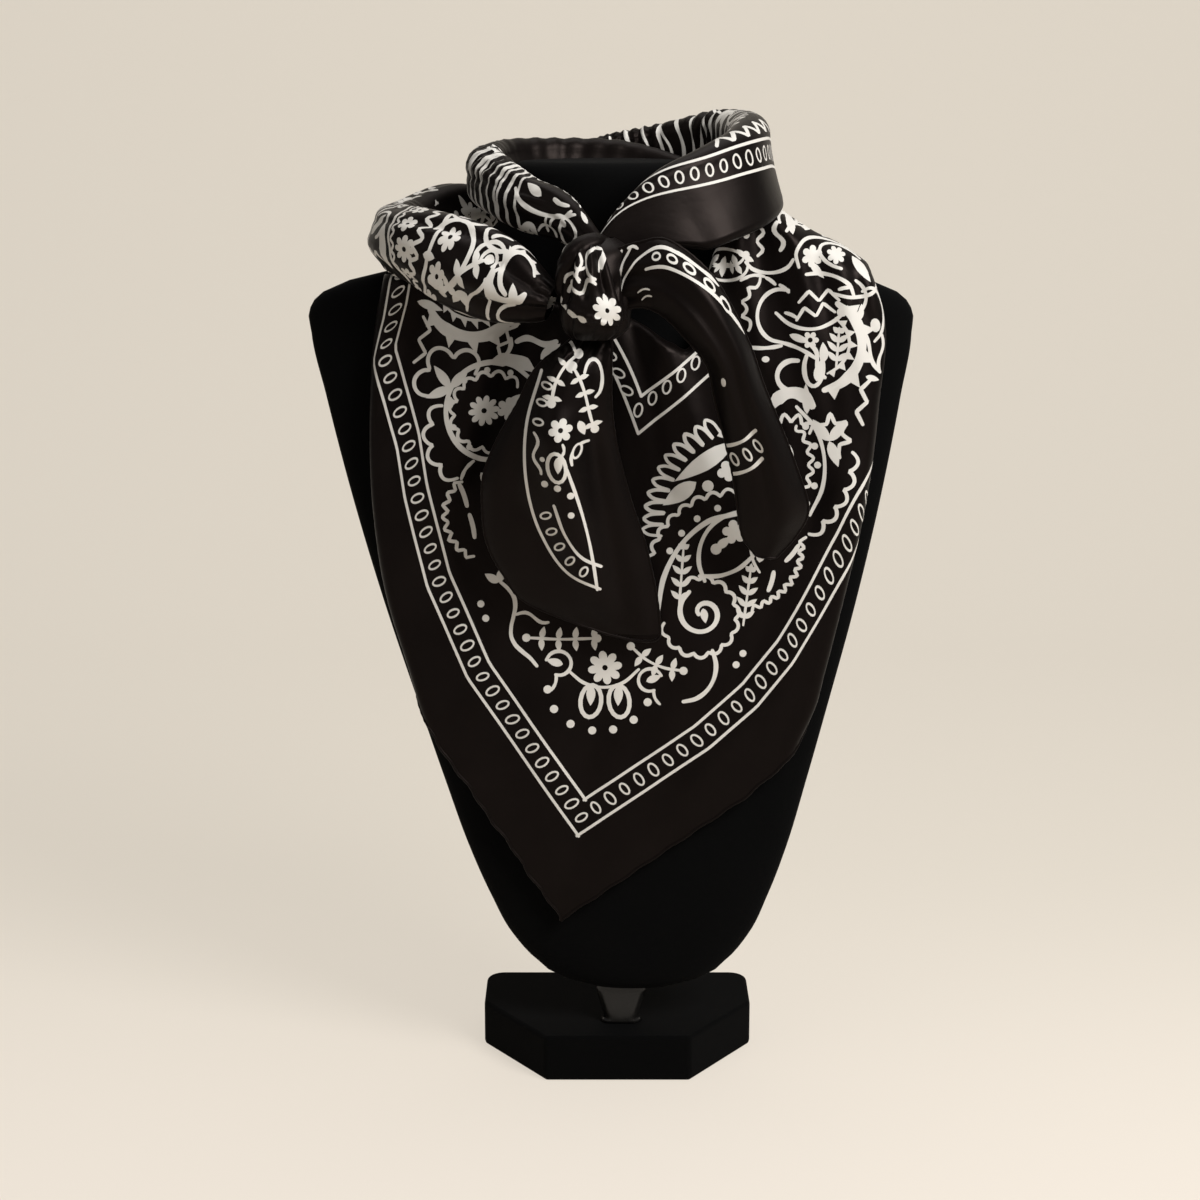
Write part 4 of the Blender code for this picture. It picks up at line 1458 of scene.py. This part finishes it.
def rollPlace(roll):
    way = wayAlong(roll["rows"])

    def place(points):
        t = np.interp(points[:, 0], way["far"], way["t"])
        middle, up, out = stationOn(way, t)
        angle = points[:, 1] / roll["wide"] * roll["wraps"] * 2 * math.pi
        swell = rollSwell(roll, t, angle)
        tall, deep = along(roll["rows"], "tall deep", t)
        lift, away = tall * swell * np.sin(angle), deep * swell * np.cos(angle)
        return middle + up * lift[:, None] + out * away[:, None]

    return place, way["far"][-1]


def oblong(u0, u1, v0, v1):
    return np.array([(u0, v0), (u1, v0), (u1, v1), (u0, v1)], float)


def makeRoll(name, roll, ink, step, trim=0.5):
    place, length = rollPlace(roll)
    cut = oblong(trim, length - trim, -roll["wide"] / 2, roll["wide"] / 2)
    makeSheet(name, roll["node"], cut, ink, place, step)


def leftRollPrint():
    # a strip of small flowers across the roll, paisley heads and hooks towards the knot
    ink = scatter(-5, 204, -54, 54, 11) + scatter(204, 320, 33, 54, 12) + scatter(204, 320, -54, -27, 13)
    ink += dash(2.1, 232, 34, 60, -75, 0.5, -2)
    ink += frill(wavy(237, 32, 52, -80, 0.5, -1.5), 4.5, 1.8, 1.7, "wave")
    ink += frill(wavy(250, 31, 54, -90, 0.5, 3), 6, 3.2, 2.1, "wave")
    ink += dash(2.3, 256, 32, 56, -90, 0.5, 3.4)
    for u, v, size in ((248, 0.5, 4.8), (245, 10, 3.8), (243, 20, 3.8), (249, -10, 3.8), (252, -19, 3)):
        ink += bloom(u, v, size, 6 if size < 4 else 8, 8 * u)
    ink += arc(2.7, 267, 4.5, 12, 13, 150, -262) + arc(2.4, 268, 22, 9, 5, 200, 150)
    ink += bloom(266, 9, 5.4, 7, 10) + bloom(266, -4.5, 5.2, 6, 30) + leaf(257, 1, 6, 3.2, 0)
    ink += leaf(262, 20, 10, 4, 25)
    ink += sprig(wavy(270, -11, 26, 46, 0.5, 1.5), 2.1, 7, 5.5) + arc(2.3, 288, 8.5, 7, 6.5, 215, -262)
    ink += arc(2, 288, 7.5, 3.6, 4, 200, -230) + arc(2.5, 288, 18.5, 8.5, 6.5, 60, 252)
    ink += dash(2.6, 284, 16, 9, 30) + arc(2.6, 304, 12, 9, 13, 92, 168)
    ink += teeth(bow(303, 9, 8, 9, 210, -190), 5, 4, 3.2)
    ink += brush(bow(302, 2, 8.5, 6, 165, 190), 5, 0.2, 0.4)
    ink += dash(2.3, 292, 6, 22, -112, 1, 1.8) + dash(2.3, 291, 1, 17, -70, 0.8, 1.4)
    ink += leaves(280, -6, 9, 4, -60, -120) + leaf(308, -4, 9, 4, 120) + arc(2.3, 308, -12, 8, 6, 100, 160)
    ink += leaf(232, 8, 20, 5.4, -79) + leaf(220, 2, 13, 5, 52) + arc(2.3, 226, 8, 5.5, 6.5, 150, -232)
    ink += frill([(209, -7), (231, -8)], 7, 4, 2.1, "teeth") + bloom(225, -18, 5, 6)
    ink += paisley(222, 25, 6.5, 70)
    for k in range(4):
        ink += dash(2.0, 204.5 + 4.4 * k, 24, 42, -86 - 2 * k, 0.8, 1.4)
    ink += paisley(275, 29, 6.5, 200) + sprig(wavy(288, 27, 20, 8), 1.9, 6, 5) + bloom(261, -20, 5.5, 7)
    ink += beads([(272, -21), (290, -23), (306, -21)], 1.8, 5)
    return ink + teeth(bow(281, -26, 9, 8, 20, 140), 5, 4, 2.8)


def neckBandPrint():
    # long hooks near the knot, then leaning strokes where the roll goes round the neck
    ink = scatter(96, 160, -26, 13, 21) + scatter(-3, 96, 24, 40, 22, 15) + scatter(-3, 96, -40, -17, 23)
    ink += arc(2.4, 36, 14.5, 19.5, 15, 200, 128) + dash(2.6, 31, 8, 8, 165)
    ink += arc(2.4, 19, -2, 8.5, 6.5, -10, 220) + arc(2.2, 29, -11, 7, 6.5, 20, 140)
    ink += dash(2.2, 31, -1, 7, -110) + arc(2.4, 12, 2, 9.5, 14, -70, 100) + disc(20, 1, 1.7)
    ink += leaf(38, 7, 10, 4, 20) + frill([(20, 17), (62, 18)], 5.2, 3.2, 2.0, "teeth")
    ink += leaf(10, 12, 8, 4, 20)
    ink += leaves(40, -6, 8, 3.6, -40, -110) + bloom(44, -12, 4.5, 6) + dash(2.2, 3, -12, 16, 8, 0.8, 1.6)
    for v in (-7, 6):
        ink += brush(wavy(150, v - 22, 102, 12, 0.5, 3.5), borderDesign["line"], 1, 1)
    ink += ovalsAlong(wavy(150, -22, 102, 12, 0.5, 3.5), 9.7, 3.8, 2.4)
    for k in range(11):
        odd, third = k % 2, k % 3
        ink += dash(1.9 + 0.5 * odd, 51 + 4.3 * k, 21 - odd, 36 + 2 * third, -97 + 3 * third, 0.8, 1.5)
    return ink


makeRoll("leftRoll", leftRoll, leftRollPrint(), 2.6)
makeRoll("neckBand", neckBand, neckBandPrint(), 2.6)
print("rolls made")


# the collar, where the roll has fallen open on the other side

collar = {
    "rows": table(
        "x    y     z    crown inner outer flare",
        (-22, 70,   489, 2.0,  7,    6,    0),
        (-6,  76,   493, 4.0,  16,   15,   3),
        (18,  76,   497, 5.0,  20,   20,   8),
        (50,  64,   501, 8.5,  22,   27,   9),
        (65,  33,   500, 11.0, 24,   30.5, 7),
        (67,  2,    498, 11.0, 24,   32,   7),
        (58,  -25,  493, 9.5,  24,   32.5, 10),
        (40,  -43,  487, 7.0,  24,   34,   12),
        (20,  -53,  479, 5.0,  21,   34,   9),
        (1,   -59,  463, 3.5,  11,   20,   5),
        (-10, -63,  449, 2.0,  6,    11,   2),
    ),
    "wide": 96.0,
    "under": 9.0,       # cloth that curls under along the hem
    "curl": 4.6,        # radius of that curl, and how far round it goes
    "curlTurn": 2.6,
    "reach": 18,
    # pleats that cross its crown where it is twisted behind the neck
    "pleats": table(
        "at    spread turns height",
        (0.15, 0.09,  46,   1.1),
        (0.30, 0.06,  40,   1.0),
    ),
    # how far the printed border lies from its place along a straight hem, where the roll is twisted
    "border": table(
        "u    rise",
        (0,   -3),
        (60,  -8),
        (112, -12),
        (130, -10),
        (155, -4),
        (180, 1),
        (198, 4),
        (221, 11),
        (246, 22),
        (265, 30),
    ),
    # soft hollows and swells of the outer leaf, by share of the length and height above the hem
    "dents": table(
        "at    v   long  high depth",
        (0.38, 26, 0.06, 16,  1.4),
        (0.50, 20, 0.06, 20,  -1.1),
        (0.61, 24, 0.07, 15,  0.9),
        (0.76, 14, 0.08, 12,  -0.8),
        (0.20, 22, 0.07, 16,  -1.3),
    ),
}


def collarPlace(points):
    way = collar["way"]
    t = np.interp(points[:, 0], way["far"], way["t"])
    middle, up, out = stationOn(way, t)
    crown, inner, outer, flare = along(collar["rows"], "crown inner outer flare", t)
    slant = np.hypot(outer, flare)
    whole = slant + math.pi * crown + inner
    scale = whole / (collar["wide"] - collar["under"])
    v = (points[:, 1] - collar["under"]) * scale
    share = np.clip(1 - v / slant, 0, 1)
    over = np.clip((v - slant) / crown, 0, math.pi)
    down = np.maximum(v - slant - math.pi * crown, 0)
    away = np.where(v < slant, crown + flare * share**1.3, crown * np.cos(over))
    rise = np.where(v < slant, -outer * share, crown * np.sin(over) - down)
    radius = collar["curl"] * np.minimum(scale, 1)
    turn = np.minimum(np.maximum(-v, 0) / radius, collar["curlTurn"])
    away = away - np.where(v < 0, radius * (1 - np.cos(turn)), 0)
    rise = rise - np.where(v < 0, radius * np.sin(turn), 0)
    lift = 0
    for at, spread, turns, height in rowsOf(collar["pleats"]):
        lift = lift + height * np.sin(2 * math.pi * turns * t + v / 9) * np.exp(-((t - at) / spread) ** 2)
    lift = lift * np.clip(v / slant - 0.55, 0, 0.6) / 0.6 * np.minimum(1, crown / 5)
    high = points[:, 1] - collar["under"]
    for at, level, long, tall, depth in rowsOf(collar["dents"]):
        lift = lift + depth * np.exp(-((t - at) / long) ** 2 - ((high - level) / tall) ** 2)
    side = np.where(v < slant, 1, np.cos(over))
    top = np.where(v < slant, 0, np.sin(over))
    return middle + out * (away + lift * side)[:, None] + up * (rise + lift * top)[:, None]


collar["way"] = wayAlong(collar["rows"], collar["reach"])
collarLength = collar["way"]["far"][-1]


def collarPrint():
    near, far = borderDesign["margin"], borderDesign["inside"]

    def sloped(points):
        return points + pointsOf(0 * points[:, 0], column(collar["border"], "u", "rise", points[:, 0]))

    ink = scatter(72, 250, 86, 100, 32, 17)
    for k in range(16):
        ink += dash(2.1 + 0.7 * (k % 2), 24 + 7.4 * k, 92, 34 + 3 * (k % 3), -96 + 4 * (k % 4), 0.9, 1.8)
    ink += teeth(bow(70, 56, 16, 9, 200, 140), 7, 6, 4) + leaves(100, 58, 13, 5, 20, 60, 100)
    ink += arc(2.4, 92, 52, 14, 9, 20, 140) + arc(2.6, 124, 58, 12, 10, 190, -160)
    ink += frill([(132, 58), (178, 63)], 11, 6, 2.4, "teeth") + dash(2.3, 92, 47, 42, -4, 1, 2)
    ink += frill([(140, 43.5), (190, 53.5)], 9.5, 7, 2.8, "teeth")
    ink += dash(2.3, 150, 66, 42, 6, 1, 2) + leaves(182, 68, 12, 4.6, 10, 60) + bloom(148, 74, 6, 7)
    ink += paisley(168, 78, 8, 60) + sprig(wavy(186, 80, 40, 6, 0.8, 1.5)) + bloom(212, 92, 6, 7)
    ink += mapped(borderLine(-2, collarLength + 2, near) + borderLine(-2, collarLength + 2, far), sloped)
    return ink + mapped(chainOvals(4, collarLength, (near + far) / 2, 6, 5, 7.8), sloped)


collarCut = oblong(0.5, collarLength - 0.5, 0, collar["wide"])
collarRim = collarPlace(pointsOf(np.linspace(1, collarLength - 1, 110), np.full(110, 0.2)))
makeSheet("openCollar", "right_collar", collarCut, collarPrint(), collarPlace, 2.6,
          [("collarHem", collarRim, 0.8, 3)])
print("collar made")


# the knot: a plain core, a printed wrap over its upper part, and the plain turn beside it

knot = {
    "rows": table(
        "z    x    y    wide deep",
        (453, -10, -68, 7,   6),
        (449, -10, -69, 14,  12),
        (440, -12, -71, 17,  17),
        (428, -12, -72, 19,  19),
        (416, -12, -72, 19,  19),
        (407, -12, -71, 16,  15),
        (403, -13, -70, 11,  10),
    ),
    # the printed wrap leans to one side of the core, narrow at its top
    "wrapRows": table(
        "z    x      y    wide  deep",
        (453, -15,   -71, 5,    7),
        (449, -16,   -71, 10,   13),
        (440, -15.5, -73, 13.5, 18.5),
        (428, -14,   -74, 15.5, 20),
        (416, -12.5, -74, 17.5, 20),
        (407, -12.5, -72, 15,   16),
    ),
    # creases by height and by angle from the front
    "creases": table(
        "z0   z1   angle0 angle1 width height",
        (405, 432, -60,   -20,   9,    -0.13),
        (403, 425, -25,   15,    10,   0.07),
        (403, 420, -8,    26,    7,    -0.10),
        (403, 430, 10,    40,    8,    -0.12),
        (405, 440, 50,    62,    10,   -0.12),
        (405, 445, -100,  -95,   14,   -0.11),
        (405, 445, 120,   140,   16,   -0.10),
        (405, 445, 180,   190,   18,   -0.10),
    ),
    "wrapCreases": table(
        "z0   z1   angle0 angle1 width height",
        (424, 452, -50,   -26,   8,    -0.17),
        (430, 452, -30,   -14,   6,    0.07),
        (428, 452, -12,   2,     7,    -0.15),
        (434, 452, 4,     12,    6,    0.07),
        (430, 452, 26,    30,    8,    -0.16),
        (414, 444, 46,    38,    9,    0.08),
        (421, 413, -44,   20,    10,   0.07),
        (414, 446, 60,    56,    8,    -0.12),
        (414, 448, 84,    74,    12,   -0.11),
        (414, 448, -90,   -80,   12,   -0.12),
        (414, 448, 150,   150,   20,   -0.08),
    ),
    "round": 19.0,
}


def knotPlace(rows, swell, creases):
    # from lengths round the knot, nothing at its front, and heights
    def place(points):
        z = points[:, 1]
        x, y, wide, deep = columns(rows, "z", "x y wide deep", z)
        angle = points[:, 0] / knot["round"]
        degrees = np.degrees(angle)
        size = creased(swell, creases, degrees, z, 4) - 0.06 * np.clip((degrees - 120) / 60, 0, 1)
        return pointsOf(x + np.sin(angle) * wide * size, y - np.cos(angle) * deep * size, z)

    return place


def wrapOutline():
    u = np.linspace(-62, 62, 60)
    low = 411.5 + np.minimum(0.012 * (u - 7) ** 2, 12) + 0.5 * np.sin(u / 4)
    return np.concatenate([pointsOf(u, low), pointsOf(u[::-1], 451.5 + 0 * u)])


def wrapPrint():
    ink = scatter(-64, -24, 412, 456, 41, 15) + scatter(28, 64, 412, 456, 42, 15)
    ink += bloom(7.5, 419.5, 7.8, 9, 4, 0.16) + leaf(-4, 414, 6, 3.4, 150)
    ink += dash(2.6, -17, 428, 21, 12, 1.5, 2.6)
    ink += arc(2.1, -12, 432, 6.5, 5, 175, -150) + disc(-13.5, 432, 2)
    ink += dash(2.2, -19, 447, 18, -24, 1, 2.4)
    ink += arc(2.3, 4, 441, 5, 6.5, 100, 170) + dash(2.2, -5, 446, 13, -97, 1, 1.4)
    ink += dash(2.3, 8, 438, 14, 50) + arc(2.4, 19, 437, 9, 9, 165, -125) + dash(2.1, 2, 447, 12, 5)
    return ink + leaf(-16, 419, 8, 4, -20)


corePlace = knotPlace(knot["rows"], 0.93, knot["creases"])
wrapPlace = knotPlace(knot["wrapRows"], 1.0, knot["wrapCreases"])
knotCore = makeSheet("knotCore", "knot", oblong(-66, 66, 403.5, 452.5), [], corePlace, 2.0)
makeSheet("knotWrap", "knot", wrapOutline(), wrapPrint(), wrapPlace, 1.8)
knotTurn = {
    "node": "knot",
    "rows": table(
        "x     y     z    tall  deep",
        (-6,   -66,  450, 2.5,  2.5),
        (-12,  -75,  451, 4.5,  4.5),
        (-19,  -80,  448, 5.5,  5),
        (-24,  -82,  442, 5.5,  5),
        (-27,  -80,  435, 4.5,  4.5),
        (-28,  -76,  428, 3.5,  3.5),
        (-25,  -70,  422, 2,    2),
    ),
    "wide": 30.0,
    "wraps": 1.1,
    "creases": table(
        "start end  angle0 angle1 width height",
        (0.05, 0.95, 50,   20,    18,   -0.14),
        (0.10, 0.90, -40,  -60,   20,   -0.12),
    ),
    "pleats": table("at spread turns angle arc height", (0.5, 0.3, 7, 0, 60, 0.05)),
}
makeRoll("knotTurn", knotTurn, [], 2.0, trim=0.3)
print("knot made")


# the loose ends

leftTail = {
    "rows": table(
        "z    left  right y    bulge",
        (408, -20,  -6,   -68, 3),
        (402, -25,  -4,   -68, 4),
        (393, -37,  -4,   -69, 8),
        (370, -51,  -4,   -67, 13),
        (352, -61,  -2,   -64, 15),
        (334, -68,  2,    -61, 15),
        (316, -69,  7,    -58, 14),
        (298, -67,  13,   -55, 12),
        (281, -59,  17,   -53, 10),
        (265, -46,  20,   -51, 7),
        (256, -26,  21,   -50, 4),
        (248, -4,   21.5, -49, 1.5),
    ),
    "folds": table(
        "x0    z0   x1    z1   width height",
        (-29,  404, -32,  348, 10,   5.5),
        (-32,  352, -20,  282, 10,   6.5),
        (-11,  399, -11,  338, 6,    -6.0),
        (-11,  342, 2,    268, 6.5,  -6.5),
        (-1,   398, 13,   262, 5,    3.0),
        (-44,  394, -56,  318, 6,    -3.5),
        (-46,  314, -14,  262, 7,    -2.5),
    ),
    "top": 402.0,
    "long": 154.0,
    "low": 248.5,
    "gathers": {"from": 408.0, "tall": 1.6, "fade": 22.0, "count": 4},
}


def endSwell(share, t):
    # how a loose end bulges from one side to the other
    return np.sin(math.pi * share) ** 0.8 + 0.12 * np.sin(3 * math.pi * share + 2 * t)


def leftTailPlace(points):
    x, z = points[:, 0], points[:, 1]
    left, right, y, bulge = columns(leftTail["rows"], "z", "left right y bulge", z)
    share = np.clip((x - left) / (right - left), 0, 1)
    gathers = leftTail["gathers"]
    gather = gathers["tall"] * np.exp(-((gathers["from"] - z) / gathers["fade"]) ** 2)
    gather = gather * np.cos(2 * math.pi * gathers["count"] * share)
    folds = foldHeight(leftTail["folds"], x, z, 16) * np.clip(4 * np.minimum(share, 1 - share), 0, 1)
    swell = endSwell(share, (leftTail["top"] - z) / leftTail["long"])
    return pointsOf(x, y - bulge * swell - gather - folds, z)


def leftTailOutline():
    z = np.linspace(leftTail["gathers"]["from"], leftTail["low"], 60)
    left, right = columns(leftTail["rows"], "z", "left right", z)
    return np.concatenate([pointsOf(left, z), pointsOf(right, z)[::-1]])


def leftTailPrint():
    # the border runs down one side and comes back to a point, with flowers and sprigs between
    line = borderDesign["line"]
    ink = brush(bow(-6, 345, 41, 70, 142, 123), line, 1, 1, swell=0)
    ink += brush(bow(-6, 347, 29.5, 60, 206, 58), line, 1, 1)
    ink += brush(wavy(-11, 275, 67, 103, 0.5, -2), line, 1, 1) + arc(2.1, -16, 345, 8, 8, 200, -115)
    ink += ovalsAlong(bow(-6, 346, 35.3, 65, 143, 24), 9.0, 3.0, 2.1)
    ink += ovalsAlong(bow(-6, 346, 35.3, 65, 205, 51), 9.0, 3.3, 2.2)
    ink += sprig(bow(-11, 371, 22.5, 28, 114, 62), 2.1, 9, 5)
    ink += sprig(wavy(-23, 391, 34, -70, 0.8, 1), 2.0, 8, 5)
    ink += arc(2, -29, 396, 7.5, 7.5, 160, -150) + arc(2.2, -13, 384, 4.5, 9.5, 160, -235)
    ink += bloom(-29, 360, 6, 6, 12, 0.22) + dash(1.9, -28, 353, 6, -95)
    ink += ring(-31, 341, 5.4, 8.6, 1.9, 8) + leaf(-30, 347, 9, 4.2, -92)
    ink += dash(2.1, -42, 358, 21, -85, 1.3, 1.6)
    ink += ring(-21, 349, 2.6, 4.2, 1.2, -20) + leaf(-20, 364, 8, 4, -70)
    return ink + beads(wavy(-37, 332, 14, -24), 1.8, 3) + disc(-24, 316, 1.7) + disc(-38, 345, 1.3)


leftTailCut = leftTailOutline()
makeSheet("leftEnd", "left_tail", leftTailCut, leftTailPrint(), leftTailPlace, 2.4,
          [("leftEndHem", leftTailPlace(leftTailCut), 0.75, 4)])

rightTail = {
    "rows": table(
        "x0   z0   x1   z1   y    bulge",
        (-2,  417, -3,  447, -76, 3),
        (10,  420, 9,   451, -79, 5),
        (21,  416, 24,  452, -82, 8),
        (33,  404, 45,  435, -83, 11),
        (43,  391, 62,  405, -80, 12),
        (47,  374, 71,  381, -76, 12),
        (52,  355, 80,  360, -71, 11),
        (57,  334, 89.5, 336, -66, 10),
        (60,  315, 95.5, 316, -62, 8),
        (63,  301, 90,  302, -58, 5),
        (70,  291, 80,  290, -56, 2),
    ),
    "wide": 34.0,
    "gathers": {"tall": 1.5, "fade": 0.12, "count": 3},
}


def rightTailPlace(points):
    rows = rightTail["rows"]
    t = np.clip(points[:, 0] / rightTail["long"], 0, 1)
    share = np.clip(points[:, 1] / rightTail["wide"], 0, 1)
    x0, z0, x1, z1, y, bulge = along(rows, "x0 z0 x1 z1 y bulge", t)
    swell = endSwell(share, t)
    gathers = rightTail["gathers"]
    gather = gathers["tall"] * np.exp(-(t / gathers["fade"]) ** 2)
    gather = gather * np.cos(2 * math.pi * gathers["count"] * share)
    crease = 2.6 * np.exp(-((share - 0.62 + 0.2 * t) / 0.11) ** 2 - ((t - 0.62) / 0.22) ** 2)
    ridge = 2.0 * np.exp(-((share - 0.3) / 0.12) ** 2 - ((t - 0.4) / 0.25) ** 2)
    depth = y - bulge * swell - gather + crease - ridge
    return pointsOf(x0 + (x1 - x0) * share, depth, z0 + (z1 - z0) * share)


def middleLength(rows):
    x, z = (rows["x0"] + rows["x1"]) / 2, (rows["z0"] + rows["z1"]) / 2
    return float(np.hypot(np.diff(x), np.diff(z)).sum())


rightTail["long"] = middleLength(rightTail["rows"])


def rightTailPrint():
    # the border follows the outer edge, goes over it, and comes back across lower down
    line = borderDesign["line"]
    ink = brush(bow(40, 2, 38, 29, 178, -92), line, 1, 1)
    ink += brush(wavy(41, 31, 17, 9, 0.5, -0.7), line, 1, 1)
    ink += brush(wavy(23, 20, 51, 16, 0.5, -2), line, 1, 1)
    ink += ovalsAlong(wavy(26, 25.5, 44, 9, 0.5, -0.5), 8.4, 2.1, 2.9)
    ink += brush(wavy(115, -1, 21, 106, 0.5, -1), line, 1, 1)
    ink += brush(wavy(128, -1, 20, 110, 0.5, -1), line, 1, 1)
    ink += ovalsAlong(wavy(121.5, -1, 22, 108, 0.5, -1), 8.0, 3.2, 2.2)
    ink += dash(2.3, 4, 18, 17, 62, 0.7, 1.3) + dash(2.2, 11, 32.5, 7, -12) + dash(2.8, 2, 23, 10, 66)
    return ink + disc(84, 8, 2.2, 1.6) + dash(1.5, 17, 8, 9, 12) + dash(1.5, 20, 4, 8, 20)


rightTailCut = oblong(0, rightTail["long"], 0, rightTail["wide"])
# its hem goes round from corner to corner, apart from the side that lies in the knot
rightRim = densified(np.roll(rightTailCut, 1, axis=0), 2.0)
rightRim = rightTailPlace(rightRim[rightRim[:, 0] > 3][::-1])
makeSheet("rightEnd", "right_tail", rightTailCut, rightTailPrint(), rightTailPlace, 2.2,
          [("rightEndHem", rightRim, 0.75, 5)])
print("loose ends made")
